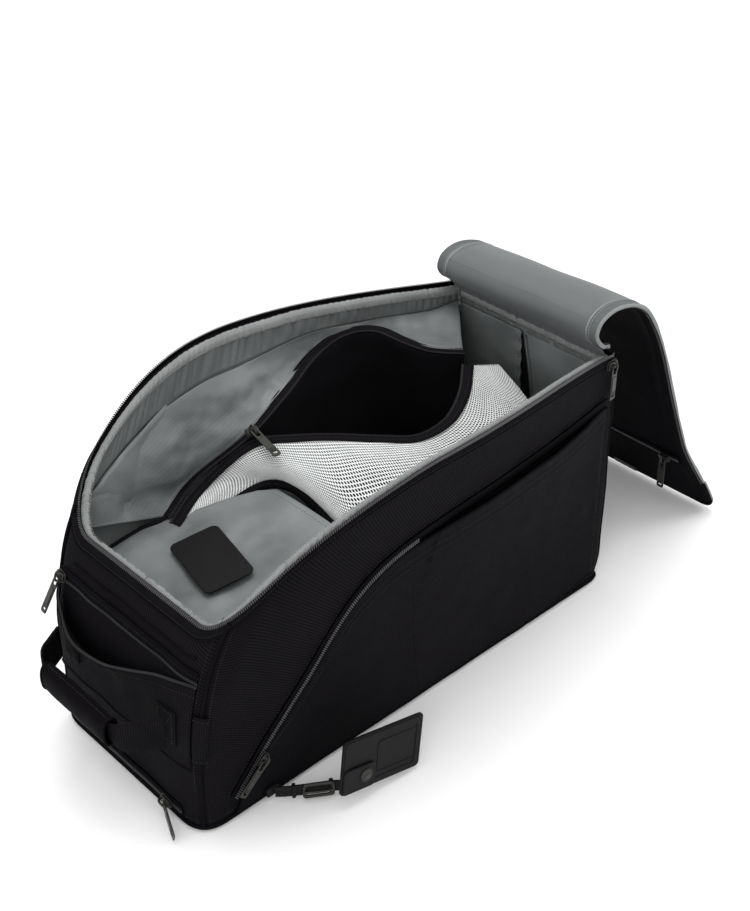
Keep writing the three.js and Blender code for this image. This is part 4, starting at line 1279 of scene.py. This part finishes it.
def build_front_flap():
    """The panel that leans from the handle end over to the bound edge."""
    u, v = uv_grid(110, 110)
    x = mix(-250, -47, v)
    far = np.interp(x, [-250, -215, -168, -127, -86, -60, -47], [97, 111, 107, 93, 78, 64, 50])
    y = mix(-100, far, u)
    x = x - 6 * (y / 100) ** 2 * v
    z = panel_height(x) - 7 * arch(u) * arch(v) - 14 * (1 - v) ** 8
    points = np.stack([x, y, z], -1)
    hold = (np.sin(math.pi * np.clip(u, 0.01, 0.99)) * np.sin(math.pi * np.clip(
        v, 0.01, 0.99,
    )))[..., None] ** 0.4
    points = mix(points, bumpy(bumpy(points, 52, 3.4, 15.0), 17, 1.1, 16.0), hold)
    cloth("accessory_flap", points, "satin", 1.0, face=UP, stands_for=["accessory_front_panel"])
    path = points[4:-4, -4] + [0, 0, 0.7]
    stitches("accessory_flap_stitch", path, "pale_thread")
    path = points[-1, 14:56] + [0, 1.0, 0.3]
    tube("accessory_flap_edge", path, 1.9, "binding", sides=8, slot="black_lining")


def build_patch():
    tilt = math.atan(PANEL_SLOPE)
    level = Matrix.Translation((-153, 22, panel_height(-153) - 1.2))
    place = level @ Matrix.Rotation(-tilt, 4, "Y") @ Matrix.Rotation(-0.2, 4, "Z")
    plate(
        "leather_patch_face", [rounded(52, 82, 7)], 1.8, 0.7, place, "leather",
        stands_for=["leather_patch"],
    )
    seam = closed_line(place, rounded(47, 77, 5.5), 1.9, 200)
    stitches("patch_stitch", seam, **LEATHER_STITCH)


def build_slip_pocket():
    """A flat pocket on the end lining: a gathered upright edge, and beside it a black sheet painted in
    as the shadow in its opening.
    """
    u, v = uv_grid(60, 80)
    s = mix(5.12, 6.3, u)
    z = mix(70, plain_rim(s) - 21, v)
    ruffle = 1.3 * np.sin(v * 70 + 3 * u) * np.exp(-22 * u)
    points = at_height(s, z, -10.2 - 2.2 * np.exp(-30 * u) * arch(v) - 0.8 * arch(u) + ruffle)
    points = bumpy(points, 20, 1.0, 18.0)
    cloth("slip_pocket", points, "satin", 0.9, face=LEFT, stands_for=["end_slip_pocket"])
    tube("slip_pocket_hem", points[0], 1.3, "satin", sides=6, up=LEFT)
    stitches("slip_pocket_hem_stitch", points[3] + [-0.8, 0, 0], "pale_thread", pitch=4, length=1.4)
    v = np.linspace(0, 1, 60)
    wide = 0.02 + 0.11 * arch(v)
    z = mix(72, plain_rim(5.0) - 24, v)
    # painted shadow: a black sheet stands for the shade inside the pocket's opening
    slit_shade_sheet = at_height(
        5.12 - mix(0, wide[:, None], np.linspace(0, 1, 4)[None]), z[:, None] + np.zeros((60, 4)),
        -9.9,
    )
    cloth("slip_pocket_slit_shadow", slit_shade_sheet, "inner", 0.5, face=LEFT)
    path = at_height(5.08 - wide, z, -10.2)
    tube("slip_pocket_welt", path, 0.9, "satin", sides=6, up=LEFT)
    path = at_height(5.05 - wide - 0.03, z, -10.4)
    stitches("slip_pocket_welt_stitch", path, "pale_thread", pitch=3.4, length=1.4)


# ------------------------------------------------------------------ lid
LID_LINE = spline(
    [
        (268, 0, 289), (252, 0, 298), (238, 0, 308), (231, 0, 320), (236, 0, 332), (254, 0, 339),
        (283, 0, 335), (306, 0, 322), (328, 0, 293), (347, 0, 257), (376, 0, 187), (408, 0, 114),
        (443, 0, 45), (461, 0, 6),
    ],
    900,
)
LID_JOINTS = [(268, 289), (230, 322), (245, 337), (284, 335), (327, 294), (375, 188), (420, 88)]
LID_END = path_length(LID_LINE)
LID_TURNS = [LID_END * along_line(LID_LINE, x, z) for x, z in LID_JOINTS]  # where the strips are hinged
LID_HALF = 111.0
LID_CORNER = 14.0  # the radius of the tip's two corners
LID_ROOT_INSET = 13  # how much narrower each side is at the hinge
LID_ROOT_LENGTH = 34  # the distance over which it widens again


def lid_point(d):
    return read(LID_LINE, np.asarray(d, float) / LID_END)


def lid_normal(d):
    along = read(tangents(LID_LINE), np.asarray(d, float) / LID_END)
    return unit(np.stack([-along[..., 2], 0 * along[..., 0], along[..., 0]], -1))


def lid_half(d):
    into = np.clip(d - (LID_END - LID_CORNER), 0, LID_CORNER)
    root = LID_ROOT_INSET * (1 - smooth(d / LID_ROOT_LENGTH))
    return LID_HALF - root - LID_CORNER + np.sqrt(np.maximum(LID_CORNER**2 - into**2, 0))


# One side of the lid's section: distance in from the edge, height, and what it is.
TOP_SECTION = [
    (0.0, 0.2, "piping"), (0.4, 1.5, "piping"), (1.7, 2.5, "piping"), (3.2, 1.8, "lid_band"),
    (8.0, 2.3, "lid_band"), (12.6, 2.2, "lid_band"), (13.4, 3.0, "piping"), (14.8, 2.9, "piping"),
    (15.8, 2.3, "lid_satin"), (24.0, 3.0, "lid_satin"), (50.0, 3.5, "lid_satin"),
]
UNDER_SECTION = [
    (50.0, -3.4, "lid_black"), (24.0, -3.1, "lid_black"), (14.0, -2.8, "edge"),
    (12.8, -3.7, "edge"),
    (11.4, -2.6, "tape"), (4.0, -2.0, "tape"), (0.8, -1.6, "piping"),
]
MIDDLE = 8  # columns across the middle of the lid, between the two sides
MIDDLE_INSET = 50  # where the middle starts, in from each edge


def lid_section():
    """(side, inset, height, material) all round the lid's section."""
    side = [(-1, *row) for row in TOP_SECTION]
    other = [(1, *row) for row in reversed(TOP_SECTION)]
    middle = [(k / MIDDLE, None, 3.6, "lid_satin") for k in range(1 - MIDDLE // 2, MIDDLE // 2)]
    back = [(-k / MIDDLE, None, -3.4, "lid_black") for k in range(1 - MIDDLE // 2, MIDDLE // 2)]
    under = [(1, *row) for row in reversed(UNDER_SECTION)]
    under_other = [(-1, *row) for row in UNDER_SECTION]
    return side + middle + other + under + back + under_other


def hang(points, d):
    """The far side of the fold sits lower, and the tip's near corner spreads out."""
    y = points[..., 1]
    d = np.broadcast_to(np.reshape(d, (-1,) + (1,) * (y.ndim - 1)), y.shape)
    fold = np.sin(math.pi * np.clip(d / 250, 0, 1))
    spread = smooth((d - (LID_END - 120)) / 120) * np.clip(-y / LID_HALF, 0, 1)
    points = points.copy()
    points[..., 2] -= 8 * smooth((y + LID_HALF) / (2 * LID_HALF)) * fold
    points[..., 0] += 5 * spread
    points[..., 1] -= 12 * spread
    return points


def lid_surface(d, closed_end):
    rows = lid_section()
    at, normal, half = lid_point(d), lid_normal(d), lid_half(d)
    points = np.zeros((len(d), len(rows) + 1, 3))
    taper = np.sqrt(np.clip((LID_END - d) / 3.0, 0.0, 1.0)) if closed_end else np.ones(len(d))
    for k, (side, inset, height, _) in enumerate(rows):
        if inset is None:
            y = side * 2 * (half - MIDDLE_INSET)
        else:
            y = side * np.maximum(half - inset, 0)
        points[:, k] = at + normal * (height * taper)[:, None]
        points[:, k, 1] = y
    points[:, -1] = points[:, 0]
    return hang(points, d)


def slice_piece(name, d, closed_end=False):
    rows = lid_section()
    points = lid_surface(d, closed_end)
    points = mix(points, bumpy(points, 55, 1.6, 21.0), 0.8)
    points = bumpy(points, 20, 0.35, 22.0)
    points[:, -1] = points[:, 0]
    along = np.broadcast_to(d[:, None], points.shape[:2])
    uv = np.stack([along, np.broadcast_to(lengths(points[0]), points.shape[:2])], -1)
    faces = grid_faces(len(d) - 1, len(rows))
    mesh = mesh_from(name, points.reshape(-1, 3), faces, uv.reshape(-1, 2))
    names = sorted({row[3] for row in rows})
    strip = np.tile([names.index(row[3]) for row in rows], len(d) - 1)
    obj = piece(name, mesh, names[0], "twill", None)
    for other in names[1:]:
        mesh.materials.append(MATERIALS[other])
    mesh.polygons.foreach_set("material_index", strip.astype(np.int32))
    return obj


def hold(obj, k):
    """Bakes a slice of the lid's placement into its mesh. k, the joint between strips k and k + 1, is
    not used.
    """
    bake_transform(obj)


def lid_edge_path(d, side, inset, height):
    """A line along one long edge of the lid."""
    path = lid_point(d) + lid_normal(d) * height
    path[:, 1] = side * (lid_half(d) - inset)
    return hang(path, d)


def build_lid():
    edges = [0] + [(a + b) / 2 for a, b in zip(LID_TURNS, LID_TURNS[1:] + [LID_END])]
    for k, (start, end) in enumerate(zip(edges[:-1], edges[1:])):
        d = np.linspace(start, end, max(10, int((end - start) / 2.5)))
        hold(slice_piece(f"lid_part_{k + 1}", d), k)
        for side, label in ((-1, "near"), (1, "far")):
            tag = f"{label}_{k + 1}"
            coil = lid_edge_path(d, side, 3.2, -2.2)
            out = -lid_normal(d)
            hold(teeth(f"lid_teeth_{tag}", coil, out, body=None, length=2.6, radius=0.6), k)
            seam = lid_edge_path(d, side, 11.2, 2.9)
            look = {"body": None, "slot": "facing", "pitch": 3.0, "radius": 0.22}
            hold(stitches(f"lid_stitch_{tag}", seam, "pale_thread", **look), k)
    rounding = LID_END - 3 + 3 * np.sin(np.linspace(0.1, math.pi / 2, 8))
    d = np.concatenate([np.linspace(edges[7], LID_END - 3, 40), rounding])
    tip = slice_piece("lid_part_8", d, closed_end=True)
    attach(tip, "lid_7")
    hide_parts(*[f"lid_strip_{n}" for n in range(1, 8)])
    build_lid_root()
    build_lid_end(edges[7])
    build_lid_pocket()


def build_lid_root():
    """The lid's lining turns down over the rim and is gathered into the seam there."""
    profile = spline(
        [(257, 0, 276), (254.5, 0, 282), (251, 0, 289), (246, 0, 296), (240, 0, 302)], 24,
    )
    y = np.linspace(-105, 105, 260)
    points = np.broadcast_to(profile, (260, 24, 3)).copy()
    points[..., 1] = y[:, None]
    gather = waver(y, 6.0, 2.3, 5.1)[:, None]
    fade = (1 - np.linspace(0, 1, 24)[None]) ** 1.5
    points[..., 0] -= 1.2 * gather * fade
    points[..., 2] -= 1.6 * gather * fade
    obj = cloth("lid_root", points, "lid_satin", 0.8, body=None, face=LEFT)
    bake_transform(obj)


def build_lid_end(start):
    """The binding that runs round the tip, and the strip inside it."""
    d = np.concatenate([
        np.linspace(start, LID_END - 10, 40),
        LID_END - 10 * np.cos(np.linspace(0, math.pi / 2, 30)),
    ])
    half = lid_half(d)
    for label, inset, high, radius, material in (
        ("edge", 0.4, 1.2, 1.6, "piping"), ("cord", 0.2, -1.6, 1.7, "edge"),
    ):
        side = lid_point(d) + lid_normal(d) * high
        near, far = side.copy(), side.copy()
        near[:, 1], far[:, 1] = -(half - inset), half - inset
        path = resample(np.vstack([hang(near, d), hang(far, d)[::-1]]), 400)
        tube(
            f"lid_tip_{label}", path, radius, material, body="lid_7", sides=8, up=(0.9, 0, 0.42),
            slot="facing" if label == "edge" else "twill",
        )
    y = np.linspace(-62, 62, 80)
    rows = np.linspace(0, 1, 6)
    at = lid_point(LID_END - 3 - 11 * rows) + lid_normal(LID_END - 3 - 11 * rows) * 2.9
    points = np.broadcast_to(at, (80, 6, 3)).copy()
    points[..., 1] = y[:, None]
    points[..., 0] += 5 * np.clip(-points[..., 1] / LID_HALF, 0, 1)
    cloth("lid_tip_strip", points, "lid_band", 0.8, body="lid_7", face=(0.9, 0, 0.4))
    path = points[:, -1] + [0.3, 0, 0.2]
    tube("lid_tip_piping", path, 0.9, "piping", body="lid_7", sides=6)


def build_lid_pocket():
    """The zipped pocket on the lid's outer face."""
    d0 = LID_TURNS[6] + 10
    u, v = uv_grid(120, 6)
    d = d0 + (v - 0.5) * 11
    points = lid_point(d) - lid_normal(d) * (4.0 + 0.5 * arch(v))[..., None]
    points[..., 1] = mix(-96, 96, u)
    cloth(
        "lid_pocket_tape", points, "tape", 0.9, body="lid_7", face=(-0.9, 0, -0.4),
        stands_for=["lid_pocket_zip_tape"],
    )
    y = np.linspace(-95, 95, 150)
    line = np.repeat((lid_point(d0) - lid_normal(d0) * 5.0)[None], 150, 0)
    line[:, 1] = y
    teeth("lid_pocket_teeth", line, -lid_normal(d0), body="lid_7", length=5.0)
    for label, off in (("upper", -6.2), ("lower", 6.2)):
        path = np.repeat((lid_point(d0 + off) - lid_normal(d0 + off) * 4.0)[None], 150, 0)
        path[:, 1] = y
        tube(f"lid_pocket_edge_{label}", path, 1.0, body="lid_7", sides=6)
    d1 = LID_TURNS[6] + 84
    normal, along = lid_normal(d1), read(tangents(LID_LINE), d1 / LID_END)
    place = basis(along, (0, 1, 0), -normal, lid_point(d1) - normal * 3.5)
    plate(
        "lid_metal_end", [rounded(7, 34, 2)], 1.6, 0.6, place, body="lid_7",
        stands_for=["lid_end_plate"],
    )


# ------------------------------------------------------------------ zip sliders
PIN_HEIGHT = 4.8
PULL_LENGTH = 40.0


DOME_PROFILE = [(0.0, 1.0), (0.45, 0.96), (0.72, 0.80), (0.9, 0.52), (1.0, 0.2), (1.0, 0.0)]


def dome(name, radius, height, place, material, **more):
    """A turned boss, from a profile swept round local Z."""
    points = np.array(
        [
            [(r * radius * math.cos(a), r * radius * math.sin(a), h * height) for r, h in DOME_PROFILE]
            for a in np.linspace(0, TAU, 25)
        ]
    )
    placed = local_path(place, points.reshape(-1, 3)).reshape(points.shape)
    centre = placed.mean((0, 1)) - np.array(place.col[2][:3]) * height
    return cloth(name, placed, material, 0.5, away=centre, ring=True, **more)


def build_slider(name, origin, x, y, n, along_pull, lift=0.0):
    seat = basis(x, y, n, origin)
    long, wide = (15, 10) if along_pull else (10, 15)
    body = f"{name}_slider"
    plate(f"{name}_runner", [rounded(wide, long, 3)], 1.3, 0.5, seat, body=body, stands_for=[body])
    plate(f"{name}_cap", [rounded(wide - 1, long - 1, 3)], 1.5, 0.6, seat, body=body, low=1.9)
    arch = [
        (0, -5.0, 2.4), (0, -5.0, 5.4), (0, -3.6, 7.0), (0, 0, 7.4), (0, 3.6, 7.0), (0, 5.0, 5.4),
        (0, 5.0, 2.4),
    ]
    arch = spline(local_path(seat, arch), 40)
    tube(f"{name}_bridge", arch, 1.15, "metal", body=body, sides=10, up=x)
    pin = seat @ Matrix.Translation((0, 0, PIN_HEIGHT)) @ Matrix.Rotation(
        math.radians(lift), 4, "X",
    )
    half = PULL_LENGTH / 2
    mid = half - 0.9
    eye = rounded(4.8, 8.4, 1.4, 0, mid - half + 6.0)
    slot = rounded(4.6, 2.6, 1.0, 0, mid + half - 4.4)
    pull = f"{name}_pull"
    outline_points = rounded(9, PULL_LENGTH, 2.2, 0, mid)
    plate(
        f"{name}_tab", [outline_points, eye, slot], 1.5, 0.45, pin, body=pull, low=-0.75,
        stands_for=[pull],
    )
    inset = rounded(6.4, 17, 1.2, 0, mid + 1.5)
    plate(f"{name}_tab_panel", [inset], 0.7, 0.3, pin, body=pull, low=0.6)
    for k in range(3):
        ridge = local_path(
            pin, [(-3.6, mid + 10.2 + 1.9 * k, 0.8), (3.6, mid + 10.2 + 1.9 * k, 0.8)],
        )
        tube(f"{name}_tab_ridge_{k + 1}", resample(ridge, 4), 0.5, "metal", body=pull, sides=6)


SLIDERS = [
    (
        "main", (252.131, -113.293, 281.462), (-0.995, -0.099, 0), (0, 0, -1), (0.099, -0.995, 0),
        False, 0,
    ),
    (
        "front_pocket", (-214.186, -119.3, 59.857), (-0.739, -0.041, 0.672),
        (-0.673, 0.064, -0.737), (-0.013, -0.997, -0.075), True, 0,
    ),
    (
        "end_pocket", (-268.034, 98.219, 173), (0.148, 0.989, 0), (-0.298, 0.045, -0.953),
        (-0.943, 0.142, 0.302), False, 12,
    ),
    (
        "bottom", (-282.899, -63.933, 14.0), (0, 0.215, -0.977), (0, -0.977, -0.215), (-1, 0, 0),
        True, 22,
    ),
    ("shoe_pouch", (-41, 96, 232), (-1, 0, 0), (0, -0.751, -0.661), (0, -0.661, 0.751), False, 24),
    (
        "lid_pocket", (419.651, -78, 76.492), (0, 1, 0), (0.438, 0, -0.899), (-0.899, 0, -0.438),
        False, 24,
    ),
]


def build_sliders():
    for row in SLIDERS:
        build_slider(*row)


# ------------------------------------------------------------------ luggage tag
TAG = basis((0.984, -0.108, -0.141), (0.147, 0.049, 0.988), (-0.1, -0.993, 0.064), (-167, -170, 16))
TAG_LENGTH, TAG_WIDTH, TAG_THICK = 92.0, 61.0, 3.6
LEATHER_STITCH = {"slot": "leather", "pitch": 2.6, "length": 1.8}
BUCKLE = basis((0.842, -0.539, 0), (0, 0, 1), (-0.539, -0.842, 0), (-171.309, -146.263, 12))
STRAP_LINE = spline(
    [
        (-203, -122, 12), (-196, -128, 12), (-183, -137, 12), (-158, -153, 12), (-154, -158, 13),
        (-152, -163, 15),
    ], 120
)


def build_tag():
    cx, cy = TAG_LENGTH / 2, TAG_WIDTH / 2
    face = TAG_THICK / 2

    def inside(margin, radius):
        return rounded(TAG_LENGTH - margin, TAG_WIDTH - margin, radius, cx, cy)

    riding = {"body": "tag"}
    leaf = {"low": -face, "stands_for": ["tag_body"]}
    plate("tag_leaf", [inside(0, 5)], TAG_THICK, 1.2, TAG, "leather", **leaf, **riding)
    border = [inside(3, 4), inside(15, 3)]
    plate("tag_border", border, 1.0, 0.4, TAG, "leather", low=face - 0.4, **riding)
    window = closed_line(TAG, rounded(46, 34, 2.5, cx + 17, cy), face + 0.1, 160)
    tube("tag_window_edge", window, 0.45, "leather", sides=6, **riding)
    seam = closed_line(TAG, inside(5.5, 3.6), face + 0.75, 240)
    stitches("tag_stitch", seam, **LEATHER_STITCH, **riding)
    riding = {"body": "tag_flap"}
    top = face + 0.7
    flap = {"low": top, "stands_for": ["tag_flap"]}
    plate("tag_strap_end", [rounded(36, 27, 4, 19, 15.5)], 1.7, 0.7, TAG, "strap", **flap, **riding)
    seam = closed_line(TAG, rounded(32, 23, 3, 19, 15.5), top + 1.75, 140)
    stitches("tag_strap_end_stitch", seam, **LEATHER_STITCH, **riding)
    stud = TAG @ Matrix.Translation((27, 17, top + 1.6))
    dome("snap_cap", 6.3, 1.6, stud, "metal", stands_for=["tag_snap"], **riding)
    turns = [TAU * k / 28 for k in range(28)]
    ring = local_path(stud, [(6.6 * math.cos(a), 6.6 * math.sin(a), 0.5) for a in turns])
    tube("snap_rim", ring, 0.55, "metal", sides=6, closed=True, **riding)
    build_strap()


def build_strap():
    riding = {"body": "tag_strap"}
    rows = np.linspace(-0.5, 0.5, 7)
    points = STRAP_LINE[:, None] + [0, 0, 1.0] * (12 * rows)[None, :, None]
    front = np.array([-0.54, -0.84, 0])
    laid = {"face": tuple(front), "offset": 0, "stands_for": ["tag_strap"]}
    cloth("tag_leather_strap", points, "strap", 2.1, **laid, **riding)
    for label, off in (("low", -4.4), ("high", 4.4)):
        seam = STRAP_LINE[:70] + front * 1.15 + [0, 0, off]
        stitches(f"tag_strap_stitch_{label}", seam, **LEATHER_STITCH, **riding)
    for k, at in enumerate((30, 92)):
        along = unit(STRAP_LINE[at + 1] - STRAP_LINE[at - 1])
        out = np.array([along[1], -along[0], 0])
        loop = [(STRAP_LINE[at] + out * a * 2.6 + [0, 0, b * 7.0]) for a, b in rounded(2, 2, 0.35)]
        loop = resample(np.array(loop + loop[:1]), 60)
        tube(
            f"strap_keeper_{k + 1}", loop, 1.9, "strap", sides=8, flat=0.45, up=tuple(out),
            **riding,
        )
    rings = [rounded(30, 18, 3.4), rounded(23.5, 11.6, 2)]
    plate("buckle_frame", rings, 2.4, 0.9, BUCKLE, stands_for=["tag_buckle"], **riding)
    roller = resample(local_path(BUCKLE, [(13.2, -6.4, 1.3), (13.2, 6.4, 1.3)]), 6)
    tube("buckle_roller", roller, 2.0, "metal", sides=14, **riding)
    bar = local_path(BUCKLE, [(-13.2, 0, 3.4), (-4, 0, 3.9), (6, 0, 4.0), (12.8, 0, 3.5)])
    prong = {"sides": 10, "body": "tag_prong", "stands_for": ["tag_prong"]}
    tube("buckle_prong", spline(bar, 30), np.linspace(1.25, 0.9, 30), "metal", **prong)
    place = basis((1, 0, 0), UP, FRONT, (-204, -116.8, 12))
    tab = {"slot": "webbing", "stands_for": ["tag_anchor"]}
    plate("tag_sewn_tab", [rounded(14, 10, 2)], 3.6, 1.0, place, "strap", **tab)


# ------------------------------------------------------------------ stage, lights, camera
CAMERA_YAW = math.radians(43)
CAMERA_PITCH = math.radians(34)


def build_stage():
    size = 7.0
    u = np.linspace(-size, size, 15) / MM
    x, y = np.meshgrid(u, u, indexing="ij")
    points = np.stack([x, y, np.full_like(x, -0.4)], -1)
    mesh = mesh_from("paper", points.reshape(-1, 3), grid_faces(14, 14))
    floor = bpy.data.objects.new("paper", mesh)
    mesh.materials.append(MATERIALS["floor"])
    bpy.context.scene.collection.objects.link(floor)


def area_light(name, location, target, size, power):
    data = bpy.data.lights.new(name, "AREA")
    data.shape = "DISK"
    data.size = size
    data.energy = power
    lamp = bpy.data.objects.new(name, data)
    bpy.context.scene.collection.objects.link(lamp)
    lamp.location = location
    lamp.rotation_euler = (Vector(target) - Vector(location)).to_track_quat("-Z", "Y").to_euler()


def build_lights():
    world = bpy.data.worlds.new("studio")
    world.use_nodes = True
    sky = world.node_tree.nodes["Background"]
    sky.inputs[0].default_value = (1, 1, 1, 1)
    sky.inputs[1].default_value = 1.0
    bpy.context.scene.world = world
    bpy.context.scene.view_settings.view_transform = "Standard"
    target = (0, 0, 0.12)
    area_light("overhead", (0.1, 0.3, 2.3), target, 1.4, 24)
    area_light("front_fill", (-1.9, -1.4, 1.5), target, 1.2, 10)
    area_light("right_rim", (1.9, -0.9, 1.2), target, 1.0, 8)


def build_camera():
    data = bpy.data.cameras.new("camera")
    data.sensor_width = 36.0
    data.lens = 59.3
    camera = bpy.data.objects.new("camera", data)
    bpy.context.scene.collection.objects.link(camera)
    camera.location = (-0.7998, -0.8966, 1.0424)
    camera.rotation_euler = (math.pi / 2 - CAMERA_PITCH, 0, -CAMERA_YAW)
    bpy.context.scene.camera = camera


build_camera()
build_lights()
build_stage()
build_walls()
build_base()
build_linings()
build_facing()
build_main_zip()
build_front_pocket()
build_end_pocket()
build_bottom_zip()
build_handle()
build_seam_tab()
build_pouch()
build_accessory()
build_slip_pocket()
build_lid()
build_sliders()
build_tag()
